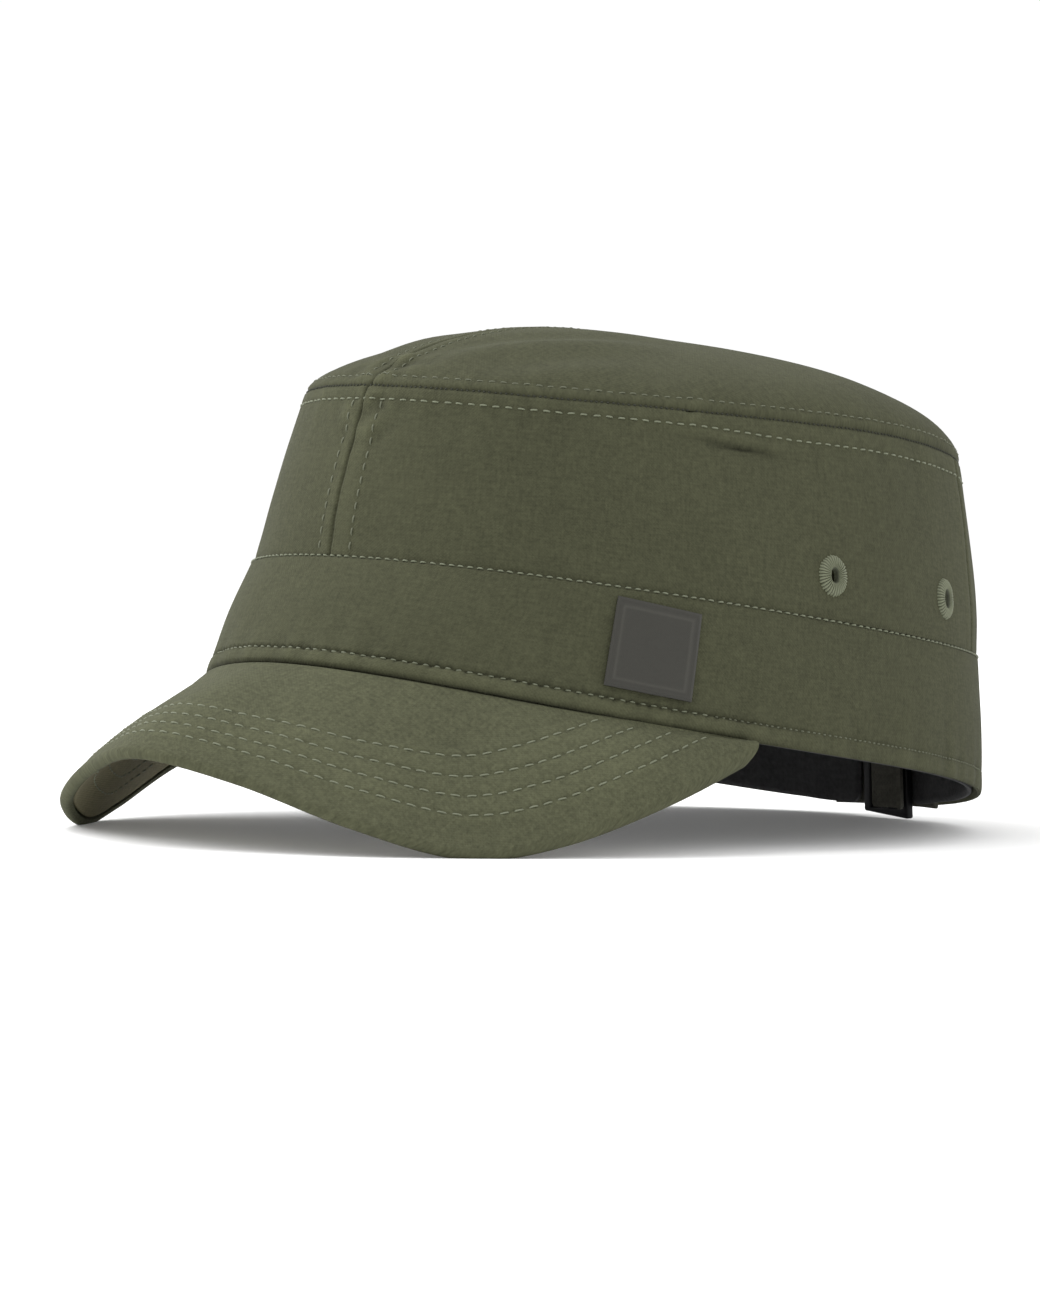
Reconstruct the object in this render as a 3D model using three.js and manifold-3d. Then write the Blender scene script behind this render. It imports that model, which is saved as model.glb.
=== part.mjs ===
// A military cap of olive cloth: a low crown with a domed top, a band, a curved peak,
// a sweatband, and a strap with a slider across the slot at the back.
// Millimetres, +Z up. The forehead faces -Y and the wearer's left side faces +X.
// The cap is shaped level, with the rim near height 0, and is then tilted back to lie as it
// would on a table: on both low points of its peak and on the slider at the back.

import * as THREE from 'three';
import { mergeVertices } from 'three/addons/utils/BufferGeometryUtils.js';
import Module from 'manifold-3d';

const wasm = await Module();
wasm.setup();

// Head and crown
const HEAD_WIDTH = 165;
const HEAD_LENGTH = 205;
const BAND_HEIGHT = 30;
const CROWN_HEIGHT = 42;
const DOME_HEIGHT = 22.5;

// Cloth
const CROWN_CLOTH = 1.5;
const BAND_CLOTH = 2;
const SWEATBAND_CLOTH = 1.4;
const SEAM_GAP = 0.3;
const BAND_STEP = 0.5;
const HEM_HEIGHT = 4;
const HEM_PUFF = 0.6;
const BAND_FULLNESS = 0.6;
const CROWN_FULLNESS = 0.9;
const SIDE_SEAM_TURN = 125;

// Peak
const PEAK_WIDTH = HEAD_WIDTH - 6;
const PEAK_AHEAD = 117;
const PEAK_DROP = 32.8;
const PEAK_SPAN = 74.5;
const PEAK_CAMBER = 2.2;
const PEAK_RAISE = 1.8;
const PEAK_COVER = 1.7;
const PEAK_LINING = 1;
const PEAK_LIP = 2.4;
const PEAK_TUCK = 2;
const REST_FLAT = 1.1;

// Back slot, sweatband ends, strap and slider
const BACK_TURN = 173.2;
const SLOT_WIDTH = 24;
const SLOT_HEIGHT = 25;
const SWEATBAND_HEIGHT = 28;
const SWEATBAND_PART = 21;
const STRAP_HEIGHT = 20;
const STRAP_CLOTH = 1;
const STRAP_TUCK = 8;
const SLIDER_WIDTH = 16;
const SLIDER_BAR = 2.6;
const SLIDER_MIDDLE_BAR = 3.2;
const SLIDER_THICK = 2.2;
const SLIDER_ASIDE = 1;
const STRAP_FREE_END = 11;

// Label and eyelets
const LABEL_SIZE = 19;
const LABEL_CLOTH = 0.8;
const LABEL_TURN = 56.2;
const LABEL_CLIMB = 6.3;
const EYELET_WIDTH = 9;
const EYELET_HOLE = 2.2;
const EYELET_RISE = 0.9;
const EYELET_ABOVE_BAND = 9.5;
const EYELET_TURNS = { front: 84.3, rear: 112.2 };

// The level rings that the walls pass through. Widths and lengths are shares of the head's
// half width and half length; the other columns but taper and square are shares of its length.
// shift moves a ring back, taper narrows its front, square fills its four corners, and lift,
// arch and wave raise its front, both its ends, and its front and flanks in turn.
const RINGS = {
  rim: { width: 0.99, length: 1, shift: 0.0233, taper: 0.049, square: -0.011,
    base: 0.0025, lift: 0.0264, arch: 0.0028, wave: 0.006 },
  seam: { width: 0.932, length: 0.917, shift: 0.0368, taper: 0.039, square: 0,
    base: 0.0041, lift: 0.0083, arch: 0.0025, wave: 0 },
  top: { width: 0.816, length: 0.84, shift: 0.0317, taper: 0.068, square: 0,
    base: 0.0045, lift: 0, arch: -0.0091, wave: 0.0045 },
};

// Half of the peak's outer edge, from the middle of the front to its corner at the temple:
// side is a share of the half width, ahead of PEAK_AHEAD and down of PEAK_DROP
const PEAK_EDGE = [
  { side: 0, ahead: 1, down: 0.545 },
  { side: 0.295, ahead: 0.93, down: 0.66 },
  { side: 0.575, ahead: 0.815, down: 0.875 },
  { side: 0.77, ahead: 0.645, down: 1 },
  { side: 0.9, ahead: 0.48, down: 0.85 },
  { side: 0.995, ahead: 0.265, down: 0.49 },
  { side: 1, ahead: 0, down: 0.04 },
];

// How round the dome's shoulder is in front and at the back: a lower power is fuller
const DOME_POWER_FRONT = 0.7;
const DOME_POWER_BACK = 0.47;

const COLUMNS_ROUND = 72;
const FULL_TURN = 360;
const HALF_TURN = FULL_TURN / 2;
const DEGREE = Math.PI / 180;
const WALL_HEIGHT = BAND_HEIGHT + CROWN_HEIGHT;

const OLIVE = 0x54563f;
const PEAK_OLIVE = 0x66684f;
const UNDER_GREY = 0x646255;
const BLACK_CLOTH = 0x232325;
const STRAP_OLIVE = 0x3c3c37;
const SLIDER_BLACK = 0x161617;
const LABEL_GREY = 0x4d4b49;
const THREAD = 0x7d8269;

const mix = (a, b, share) => a + (b - a) * share;

function mixRings(a, b, share) {
  const ring = {};
  for (const column of Object.keys(a)) ring[column] = mix(a[column], b[column], share);
  return ring;
}

// A point of a ring, at a turn in degrees from the front towards the wearer's left
function ringPoint(ring, height, turn) {
  const angle = turn * DEGREE;
  const side = Math.sin(angle) + ring.square * Math.sin(3 * angle);
  const front = Math.cos(angle) - ring.square * Math.cos(3 * angle);
  const x = HEAD_WIDTH / 2 * ring.width * side * (1 - ring.taper * Math.cos(angle));
  const y = HEAD_LENGTH * ring.shift - HEAD_LENGTH / 2 * ring.length * front;
  const rise = ring.base + ring.lift * Math.cos(angle)
    + ring.arch * Math.cos(2 * angle) + ring.wave * Math.cos(3 * angle);
  return new THREE.Vector3(x, y, height + HEAD_LENGTH * rise);
}

function swollen(point, turn, swell) {
  point.x += swell * Math.sin(turn * DEGREE);
  point.y -= swell * Math.cos(turn * DEGREE);
  return point;
}

// The wall's face from the rim (climb 0) over the band to the top seam
function facePoint(turn, climb) {
  if (climb <= BAND_HEIGHT) {
    const share = climb / BAND_HEIGHT;
    const ring = mixRings(RINGS.rim, RINGS.seam, share);
    return swollen(ringPoint(ring, climb, turn), turn, BAND_FULLNESS * Math.sin(Math.PI * share));
  }
  const share = (climb - BAND_HEIGHT) / CROWN_HEIGHT;
  const ring = mixRings(RINGS.seam, RINGS.top, share);
  return swollen(ringPoint(ring, climb, turn), turn, CROWN_FULLNESS * Math.sin(Math.PI * share));
}

// A point at a depth below a face, where face(a, b) gives its points and turns outwards
function below(face, a, b, depth, stepA, stepB) {
  const along = face(a + stepA, b).sub(face(a - stepA, b));
  const across = face(a, b + stepB).sub(face(a, b - stepB));
  return face(a, b).addScaledVector(along.cross(across).normalize(), -depth);
}

function wallPoint(turn, climb, depth) {
  const level = Math.min(Math.max(climb, 1), WALL_HEIGHT - 1);
  const shift = facePoint(turn, climb).sub(facePoint(turn, level));
  return below(facePoint, turn, level, depth, 0.5, 0.5).add(shift);
}

// The domed top over the top seam: reach runs from 0 at the middle to 1 at the seam
function domePoint(turn, reach) {
  const edge = ringPoint(RINGS.top, WALL_HEIGHT, turn);
  const middle = new THREE.Vector3(0, HEAD_LENGTH * RINGS.top.shift, WALL_HEIGHT);
  const fore = (1 + Math.cos(turn * DEGREE)) / 2;
  const power = mix(DOME_POWER_BACK, DOME_POWER_FRONT, fore);
  const point = new THREE.Vector3().lerpVectors(middle, edge, reach);
  point.z = mix(middle.z, edge.z, reach * reach);
  point.z += DOME_HEIGHT * (1 - reach * reach) ** power;
  return point;
}

function domeInside(turn, reach, depth) {
  const edge = domePoint(turn, 1);
  const middle = domePoint(turn, 0);
  const inner = domePoint(turn, reach);
  const shrink = 1 - depth / Math.hypot(edge.x - middle.x, edge.y - middle.y);
  inner.x *= shrink;
  inner.y = middle.y + (inner.y - middle.y) * shrink;
  inner.z -= depth * (1 - reach ** 6);
  return inner;
}

// A closed cloth solid between two grids of points, each a list of columns of rows.
// Columns to the next and rows upwards turn out of the outer face. A ring closes on itself.
function clothSolid(outer, inner, isRing = false) {
  const columns = outer.length;
  const rows = outer[0].length;
  const corners = [];
  const quad = (a, b, c, d) => corners.push(a, b, c, a, c, d);
  const spans = isRing ? columns : columns - 1;
  for (let i = 0; i < spans; i++) {
    const next = (i + 1) % columns;
    for (let j = 0; j < rows - 1; j++) {
      quad(outer[i][j], outer[next][j], outer[next][j + 1], outer[i][j + 1]);
      quad(inner[i][j], inner[i][j + 1], inner[next][j + 1], inner[next][j]);
    }
    const last = rows - 1;
    quad(inner[i][0], inner[next][0], outer[next][0], outer[i][0]);
    quad(outer[i][last], outer[next][last], inner[next][last], inner[i][last]);
  }
  if (!isRing) {
    const end = columns - 1;
    for (let j = 0; j < rows - 1; j++) {
      quad(outer[0][j], outer[0][j + 1], inner[0][j + 1], inner[0][j]);
      quad(outer[end][j], inner[end][j], inner[end][j + 1], outer[end][j + 1]);
    }
  }
  return solidFrom(corners);
}

// Joins shared corners and leaves out the triangles that a point of the grid closes up
function solidFrom(corners) {
  const soup = new THREE.BufferGeometry().setFromPoints(corners);
  const merged = mergeVertices(soup, 1e-4);
  const kept = [];
  const index = merged.index.array;
  for (let i = 0; i < index.length; i += 3) {
    const [a, b, c] = [index[i], index[i + 1], index[i + 2]];
    if (a !== b && b !== c && c !== a) kept.push(a, b, c);
  }
  merged.setIndex(kept);
  return merged;
}

function toManifold(geometry) {
  const bare = geometry.clone();
  bare.deleteAttribute('normal');
  bare.deleteAttribute('uv');
  const merged = mergeVertices(bare, 1e-4);
  return new wasm.Manifold(new wasm.Mesh({
    numProp: 3,
    vertProperties: new Float32Array(merged.attributes.position.array),
    triVerts: new Uint32Array(merged.index.array),
  }));
}

function cutFrom(geometry, ...cutters) {
  let solid = toManifold(geometry);
  for (const cutter of cutters) solid = solid.subtract(toManifold(cutter));
  const mesh = solid.getMesh();
  const result = new THREE.BufferGeometry();
  result.setAttribute('position', new THREE.BufferAttribute(new Float32Array(mesh.vertProperties), 3));
  result.setIndex(Array.from(mesh.triVerts));
  return result;
}

function solidFromGeometry(geometry) {
  const flat = geometry.index ? geometry.toNonIndexed() : geometry;
  const place = flat.attributes.position;
  return solidFrom(Array.from({ length: place.count },
    (unused, i) => new THREE.Vector3().fromBufferAttribute(place, i)));
}

const steps = (from, to, count) => Array.from({ length: count + 1 },
  (unused, i) => mix(from, to, i / count));

const grid = (columns, rows, place) => columns.map((a) => rows.map((b) => place(a, b)));

// Turns on each side of a seam that leave its gap between two panels
const SEAM_TURN = SEAM_GAP / 2 / (HEAD_WIDTH / 2 * RINGS.top.width * DEGREE);

// The crown stands a step inside the band at the fold and meets the dome's edge at the top
const crownDepth = (climb) => BAND_STEP * (WALL_HEIGHT - climb) / CROWN_HEIGHT;

function crownPanel(from, to, eyeletTurns) {
  const spans = Math.round((to - from) / FULL_TURN * COLUMNS_ROUND);
  const turns = steps(from + SEAM_TURN, to - SEAM_TURN, spans);
  const climbs = steps(BAND_HEIGHT + SEAM_GAP, WALL_HEIGHT - SEAM_GAP, 6);
  const outside = (turn, climb) => wallPoint(turn, climb, crownDepth(climb));
  const inside = (turn, climb) => wallPoint(turn, climb, crownDepth(climb) + CROWN_CLOTH);
  const panel = clothSolid(grid(turns, climbs, outside), grid(turns, climbs, inside));
  return eyeletTurns.length ? cutFrom(panel, ...eyeletTurns.map(eyeletHole)) : panel;
}

// Top panels: one for each side of the seam that runs front to back
function topPanel(side) {
  const turns = steps(Math.min(0, side * HALF_TURN), Math.max(0, side * HALF_TURN), COLUMNS_ROUND / 2);
  const reaches = [1, 0.99, 0.96, 0.9, 0.8, 0.66, 0.48, 0.26, 0];
  const beside = (point) => point.add(new THREE.Vector3(side * SEAM_GAP / 2, 0, 0));
  const outside = (turn, reach) => beside(domePoint(turn, reach));
  const inside = (turn, reach) => beside(domeInside(turn, reach, CROWN_CLOTH));
  return clothSolid(grid(turns, reaches, outside), grid(turns, reaches, inside));
}

// The band: its turned hem is puffed over the peak, and it is open in a slot at the back
function bandPuff(turn, climb) {
  const share = Math.min(climb / HEM_HEIGHT, 1);
  const aside = Math.min(turn, FULL_TURN - turn);
  const overPeak = 1 - THREE.MathUtils.smoothstep(aside, PEAK_SPAN, PEAK_SPAN + 15);
  return HEM_PUFF * Math.sin(Math.PI * share) * overPeak;
}

function band() {
  const turns = steps(0, FULL_TURN, COLUMNS_ROUND).slice(0, -1);
  const climbs = [...steps(0, HEM_HEIGHT, 4), ...steps(HEM_HEIGHT, BAND_HEIGHT, 3).slice(1)];
  const outside = (turn, climb) => wallPoint(turn, climb, -bandPuff(turn, climb));
  const inside = (turn, climb) => wallPoint(turn, climb, BAND_CLOTH);
  const ring = clothSolid(grid(turns, climbs, outside), grid(turns, climbs, inside), true);
  return cutFrom(ring, backSlot());
}

// The back of the cap leans forward as it rises, and what crosses the slot leans with it
const STRAP_DEPTH = BAND_CLOTH + SEAM_GAP;
const BACK_FOOT = wallPoint(BACK_TURN, 0, STRAP_DEPTH);
const BACK_RISE = wallPoint(BACK_TURN, STRAP_HEIGHT, STRAP_DEPTH).sub(BACK_FOOT);
const BACK_OUT = wallPoint(BACK_TURN, 0, STRAP_DEPTH - 1).sub(BACK_FOOT);
const BACK_LEAN = Math.atan2(Math.hypot(BACK_RISE.x, BACK_RISE.y), BACK_RISE.z);
const BACK_YAW = Math.atan2(-BACK_OUT.x, BACK_OUT.y);
const BACK_FRAME = new THREE.Matrix4().makeRotationZ(BACK_YAW)
  .multiply(new THREE.Matrix4().makeRotationX(Math.PI / 2 + BACK_LEAN))
  .setPosition(BACK_FOOT);

// Stands a shape drawn in width and height on the back wall, with its depth towards the head
const stoodAtBack = (geometry) => geometry.applyMatrix4(BACK_FRAME);

function backSlot() {
  const radius = SLOT_WIDTH / 2;
  const below = -SLOT_HEIGHT;
  const outline = new THREE.Shape();
  outline.moveTo(-radius, below);
  outline.lineTo(radius, below);
  outline.absarc(0, SLOT_HEIGHT - radius, radius, 0, Math.PI, false);
  const depth = HEAD_LENGTH / 4;
  const cutter = new THREE.ExtrudeGeometry(outline, { depth, bevelEnabled: false, curveSegments: 8 });
  cutter.translate(0, 0, -depth / 2);
  return stoodAtBack(cutter);
}

// The sweatband lies inside the band, parts at the back and swells over the strap's ends
const BACK_RADIUS = HEAD_WIDTH / 2 * (1 + RINGS.rim.taper) * (1 + 3 * RINGS.rim.square);
const turnsAside = (along) => Math.asin(along / BACK_RADIUS) / DEGREE;
const PART_ASIDE = turnsAside(SWEATBAND_PART / 2);
const TUCK_ASIDE = turnsAside(SWEATBAND_PART / 2 + STRAP_TUCK);
const SWELL_ASIDE = TUCK_ASIDE + 9;

function sweatbandDepth(turn) {
  const aside = Math.abs(THREE.MathUtils.euclideanModulo(turn - BACK_TURN + HALF_TURN, FULL_TURN) - HALF_TURN);
  const overStrap = 1 - THREE.MathUtils.smoothstep(aside, TUCK_ASIDE + 3, SWELL_ASIDE);
  return STRAP_DEPTH + overStrap * (STRAP_CLOTH + 3 * SEAM_GAP);
}

function sweatband() {
  const rear = steps(PART_ASIDE, SWELL_ASIDE, 6).slice(0, -1);
  const bulk = steps(SWELL_ASIDE, FULL_TURN - SWELL_ASIDE, Math.round(COLUMNS_ROUND * 0.8));
  const turns = [...rear, ...bulk, ...rear.map((aside) => FULL_TURN - aside).reverse()]
    .map((aside) => BACK_TURN - FULL_TURN + aside);
  const climbs = steps(SEAM_GAP, SWEATBAND_HEIGHT, 2);
  const outside = (turn, climb) => wallPoint(turn, climb, sweatbandDepth(turn));
  const inside = (turn, climb) => wallPoint(turn, climb, sweatbandDepth(turn) + SWEATBAND_CLOTH);
  return clothSolid(grid(turns, climbs, outside), grid(turns, climbs, inside));
}

// How far the curved wall comes in front of the strap's plane, at a distance along the strap
function wallSag(along) {
  const turn = BACK_TURN - turnsAside(along);
  const depths = [0, 0.5, 1].map((share) => {
    const place = wallPoint(turn, share * STRAP_HEIGHT, STRAP_DEPTH);
    return place.applyMatrix4(BACK_FRAME.clone().invert()).z;
  });
  return Math.max(...depths) + SEAM_GAP;
}

// The strap runs straight between the ends of the sweatband, through both of the slider's
// windows and over its middle bar. Depths are of its middle line, towards the head.
const WINDOW = (SLIDER_WIDTH - SLIDER_MIDDLE_BAR) / 2 - SLIDER_BAR;
const WINDOW_MIDDLE = (SLIDER_MIDDLE_BAR + WINDOW) / 2;
const PART_HALF = SWEATBAND_PART / 2;
const STRAP_LINE = Math.max(wallSag(PART_HALF), wallSag(-PART_HALF)) + STRAP_CLOTH / 2;
const OVER_BAR = STRAP_LINE + STRAP_CLOTH + 2 * SEAM_GAP + SLIDER_THICK;

const tuckedPlace = (along) => ({ along, depth: Math.max(wallSag(along) + STRAP_CLOTH / 2, STRAP_LINE) });
const STRAP_ROUTE = [
  tuckedPlace(-PART_HALF - STRAP_TUCK),
  tuckedPlace(-PART_HALF - STRAP_TUCK / 2),
  { along: -PART_HALF, depth: STRAP_LINE },
  { along: SLIDER_ASIDE - WINDOW_MIDDLE, depth: STRAP_LINE },
  { along: SLIDER_ASIDE - WINDOW_MIDDLE, depth: OVER_BAR },
  { along: SLIDER_ASIDE + WINDOW_MIDDLE, depth: OVER_BAR },
  { along: SLIDER_ASIDE + WINDOW_MIDDLE, depth: STRAP_LINE },
  { along: PART_HALF, depth: STRAP_LINE },
  tuckedPlace(PART_HALF + STRAP_TUCK / 2),
  tuckedPlace(PART_HALF + STRAP_TUCK),
];

// The free end is doubled back over the middle bar and curls away from the slider
const FREE_LINE = OVER_BAR + STRAP_CLOTH + SEAM_GAP;
const STRAP_CURL = [
  { along: SLIDER_ASIDE - SLIDER_MIDDLE_BAR / 2, depth: FREE_LINE },
  { along: SLIDER_ASIDE + SLIDER_WIDTH / 2, depth: FREE_LINE },
  { along: SLIDER_ASIDE + STRAP_FREE_END - STRAP_CLOTH, depth: FREE_LINE + STRAP_CLOTH },
  { along: SLIDER_ASIDE + STRAP_FREE_END, depth: FREE_LINE + 3 * STRAP_CLOTH },
];

// A ribbon of cloth standing on edge along a line of places, with mitred corners
function ribbon(places) {
  const line = places.map((place) => new THREE.Vector2(place.along, -place.depth));
  const edge = (half) => line.map((point, i) => {
    const before = line[Math.max(i - 1, 0)];
    const after = line[Math.min(i + 1, line.length - 1)];
    const into = point.clone().sub(before);
    const out = after.clone().sub(point);
    if (i === 0) into.copy(out);
    if (i === line.length - 1) out.copy(into);
    const sum = into.normalize().clone().add(out.normalize());
    const across = new THREE.Vector2(-sum.y, sum.x);
    return point.clone().addScaledVector(across, half * STRAP_CLOTH / sum.lengthSq() * 2);
  });
  const outline = new THREE.Shape([...edge(0.5), ...edge(-0.5).reverse()]);
  const geometry = new THREE.ExtrudeGeometry(outline, { depth: STRAP_HEIGHT, bevelEnabled: false });
  geometry.rotateX(-Math.PI / 2);
  geometry.translate(0, SEAM_GAP, 0);
  return stoodAtBack(solidFromGeometry(geometry));
}

// The slider: a flat frame of plastic with a middle bar between two windows
const SLIDER_FOOT = -SLIDER_BAR;
const SLIDER_HEAD = STRAP_HEIGHT + 2 * SEAM_GAP + SLIDER_BAR;
const SLIDER_FACE = STRAP_LINE + STRAP_CLOTH / 2 + SEAM_GAP;

function slider() {
  const height = SLIDER_HEAD - SLIDER_FOOT;
  const plate = new THREE.BoxGeometry(SLIDER_WIDTH, height, SLIDER_THICK);
  const windows = [-1, 1].map((side) => new THREE.BoxGeometry(WINDOW, height - 2 * SLIDER_BAR, 2 * SLIDER_THICK)
    .translate(side * WINDOW_MIDDLE, 0, 0));
  const frame = cutFrom(plate, ...windows);
  frame.translate(SLIDER_ASIDE, (SLIDER_HEAD + SLIDER_FOOT) / 2, SLIDER_FACE + SLIDER_THICK / 2);
  return stoodAtBack(frame);
}

function sliderFeet() {
  const ends = [-SLIDER_WIDTH / 2, SLIDER_WIDTH / 2].map((half) => SLIDER_ASIDE + half);
  const faces = [SLIDER_FACE, SLIDER_FACE + SLIDER_THICK];
  return ends.flatMap((along) => faces.map(
    (depth) => new THREE.Vector3(along, SLIDER_FOOT, depth).applyMatrix4(BACK_FRAME)));
}

// The peak's outer edge, as a curve through the mirrored table
const PEAK_CORNER = facePoint(PEAK_SPAN, 0);
const edgePoint = (row, side) => new THREE.Vector3(
  side * row.side * PEAK_WIDTH / 2,
  PEAK_CORNER.y - row.ahead * PEAK_AHEAD,
  PEAK_CORNER.z - row.down * PEAK_DROP,
);
const PEAK_CURVE = new THREE.CatmullRomCurve3([
  ...PEAK_EDGE.slice(1).reverse().map((row) => edgePoint(row, -1)),
  ...PEAK_EDGE.map((row) => edgePoint(row, 1)),
], false, 'catmullrom', 0.5);

// Where a place on the edge, from -1 to 1, is sewn to the rim: the lines fan out from the head
const sewnTurn = (place) => PEAK_SPAN * (0.6 * place + 0.4 * place ** 3);

function peakFace(place, share) {
  const edge = PEAK_CURVE.getPoint((place + 1) / 2);
  const sewn = facePoint(sewnTurn(place), 0);
  sewn.z -= SEAM_GAP;
  return edge.lerp(sewn, share);
}

// A point of the peak, cambered between its edge and the head; past share 1 it is tucked in.
// The edge's curve is the underside of the lip, so the upper side stands above it there.
const PEAK_THICK = PEAK_COVER + SEAM_GAP + PEAK_LINING;
const PEAK_END_SHARE = 0.98;
const PEAK_PLACES = steps(-PEAK_END_SHARE, PEAK_END_SHARE, 46);

function peakPoint(place, share, depth) {
  const level = Math.min(share, 1);
  const camber = PEAK_CAMBER * 4 * level * (1 - level) + PEAK_RAISE * (1 - level);
  const shift = peakFace(place, level).sub(peakFace(place, 0.9 * level));
  const point = below(peakFace, place, 0.9 * level, depth - camber, 0.02, 0.02).add(shift);
  if (share > 1) {
    const hem = facePoint(sewnTurn(place), 0);
    point.add(wallPoint(sewnTurn(place), 0, PEAK_TUCK)).sub(hem);
  }
  return point;
}

// The tilt at which the peak's lip sinks by REST_FLAT where the slider's foot just touches
const risen = (point, tilt) => point.z * Math.cos(tilt) - point.y * Math.sin(tilt);
const lowest = (points, tilt) => Math.min(...points.map((point) => risen(point, tilt)));

function restTilt() {
  const lip = PEAK_PLACES.map((place) => peakPoint(place, 0, PEAK_THICK));
  const feet = sliderFeet();
  let low = -20 * DEGREE;
  let high = 40 * DEGREE;
  for (let i = 0; i < 40; i++) {
    const tilt = (low + high) / 2;
    if (lowest(lip, tilt) + REST_FLAT < lowest(feet, tilt)) low = tilt;
    else high = tilt;
  }
  return low;
}

const TILT = restTilt();
const TABLE = lowest(sliderFeet(), TILT);
const UPRIGHT = new THREE.Vector3(0, -Math.sin(TILT), Math.cos(TILT));

// Cloth gives way where it would sink into the table
function onTable(point, clear = 0) {
  const sunk = TABLE + clear - risen(point, TILT);
  return sunk > 0 ? point.addScaledVector(UPRIGHT, sunk) : point;
}

// Places across the peak: in the lip along its edge, then onwards to the head
function peakShare(place, inLip, onwards) {
  const width = peakFace(place, 0).distanceTo(peakFace(place, 1));
  const lip = Math.min(PEAK_LIP / width, 0.5) * inLip;
  return mix(lip, 1, onwards);
}

// The cover is thick in its lip, where the cloth is wrapped round the edge
function peakCover() {
  const rows = [
    { inLip: 0, onwards: 0, depth: PEAK_THICK },
    { inLip: 0.5, onwards: 0, depth: PEAK_THICK },
    { inLip: 1, onwards: 0, depth: PEAK_THICK },
    { inLip: 1, onwards: 0.01, depth: PEAK_COVER },
    ...[0.2, 0.4, 0.6, 0.8, 1, 1.2].map((onwards) => ({ inLip: 1, onwards, depth: PEAK_COVER })),
  ];
  const upper = (place, row) => onTable(peakPoint(place, peakShare(place, row.inLip, row.onwards), 0));
  const lower = (place, row) => onTable(peakPoint(place, peakShare(place, row.inLip, row.onwards), row.depth));
  return clothSolid(grid(PEAK_PLACES, rows, upper), grid(PEAK_PLACES, rows, lower));
}

function peakLining() {
  const places = steps(-PEAK_END_SHARE * 0.97, PEAK_END_SHARE * 0.97, 38);
  const rows = [0.02, 0.2, 0.4, 0.6, 0.8, 0.97];
  const inLip = 1 + 2 * SEAM_GAP / PEAK_LIP;
  const surface = (depth, clear) => (place, onwards) => onTable(
    peakPoint(place, peakShare(place, inLip, onwards), depth), clear);
  const upper = surface(PEAK_COVER + SEAM_GAP, PEAK_LINING / 2);
  const lower = surface(PEAK_THICK, 0);
  return clothSolid(grid(places, rows, upper), grid(places, rows, lower));
}

// The label lies on the band's left side
function label() {
  const middle = LABEL_CLIMB + LABEL_SIZE / 2;
  const perTurn = wallPoint(LABEL_TURN + 0.5, middle, 0).distanceTo(wallPoint(LABEL_TURN - 0.5, middle, 0));
  const half = LABEL_SIZE / 2 / perTurn;
  const turns = steps(LABEL_TURN - half, LABEL_TURN + half, 6);
  const climbs = steps(LABEL_CLIMB, LABEL_CLIMB + LABEL_SIZE, 2);
  const outside = (turn, climb) => wallPoint(turn, climb, -SEAM_GAP - LABEL_CLOTH);
  const inside = (turn, climb) => wallPoint(turn, climb, -SEAM_GAP);
  return clothSolid(grid(turns, climbs, outside), grid(turns, climbs, inside));
}

// Sewn eyelets, each a low ring round a hole in its side panel
const EYELET_CLIMB = BAND_HEIGHT + EYELET_ABOVE_BAND;

function eyeletFrame(turn) {
  const foot = wallPoint(turn, EYELET_CLIMB, crownDepth(EYELET_CLIMB));
  const out = wallPoint(turn, EYELET_CLIMB, crownDepth(EYELET_CLIMB) - 1).sub(foot);
  const turned = new THREE.Quaternion().setFromUnitVectors(new THREE.Vector3(0, 1, 0), out.clone().normalize());
  return { foot, out, turned };
}

function eyeletHole(turn) {
  const { foot, turned } = eyeletFrame(turn);
  const cutter = new THREE.CylinderGeometry(EYELET_HOLE / 2, EYELET_HOLE / 2, 6 * CROWN_CLOTH, 12);
  return cutter.applyQuaternion(turned).translate(foot.x, foot.y, foot.z);
}

function eyelet() {
  const inner = EYELET_HOLE / 2;
  const outer = EYELET_WIDTH / 2;
  const profile = [
    [inner, 0], [outer, 0], [outer - 0.2, EYELET_RISE / 2], [mix(inner, outer, 0.6), EYELET_RISE],
    [mix(inner, outer, 0.25), EYELET_RISE], [inner, EYELET_RISE / 2], [inner, 0],
  ];
  const points = profile.map(([radius, rise]) => new THREE.Vector2(radius, SEAM_GAP + rise));
  return solidFromGeometry(new THREE.LatheGeometry(points, 16));
}

// Assembly
const cap = new THREE.Group();
cap.rotation.x = -TILT;

function addPiece(name, geometry, colour, roughness = 0.9) {
  const material = new THREE.MeshStandardMaterial({ color: colour, roughness, metalness: 0 });
  const mesh = new THREE.Mesh(geometry, material);
  mesh.name = name;
  cap.add(mesh);
  return mesh;
}

const LEFT_EYELETS = Object.entries(EYELET_TURNS);
addPiece('top_left_panel', topPanel(1), OLIVE);
addPiece('top_right_panel', topPanel(-1), OLIVE);
addPiece('crown_left_panel', crownPanel(0, SIDE_SEAM_TURN, LEFT_EYELETS.map(([, turn]) => turn)), OLIVE);
addPiece('crown_right_panel', crownPanel(-SIDE_SEAM_TURN, 0, LEFT_EYELETS.map(([, turn]) => -turn)), OLIVE);
addPiece('crown_back_panel', crownPanel(SIDE_SEAM_TURN, FULL_TURN - SIDE_SEAM_TURN, []), OLIVE);
addPiece('band', band(), OLIVE);
addPiece('sweatband', sweatband(), BLACK_CLOTH);
addPiece('peak', peakCover(), PEAK_OLIVE);
addPiece('peak_lining', peakLining(), UNDER_GREY);
addPiece('label', label(), LABEL_GREY, 0.6);
addPiece('back_strap', ribbon(STRAP_ROUTE), STRAP_OLIVE);
addPiece('strap_free_end', ribbon(STRAP_CURL), STRAP_OLIVE);
addPiece('strap_slider', slider(), SLIDER_BLACK, 0.4);

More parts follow.
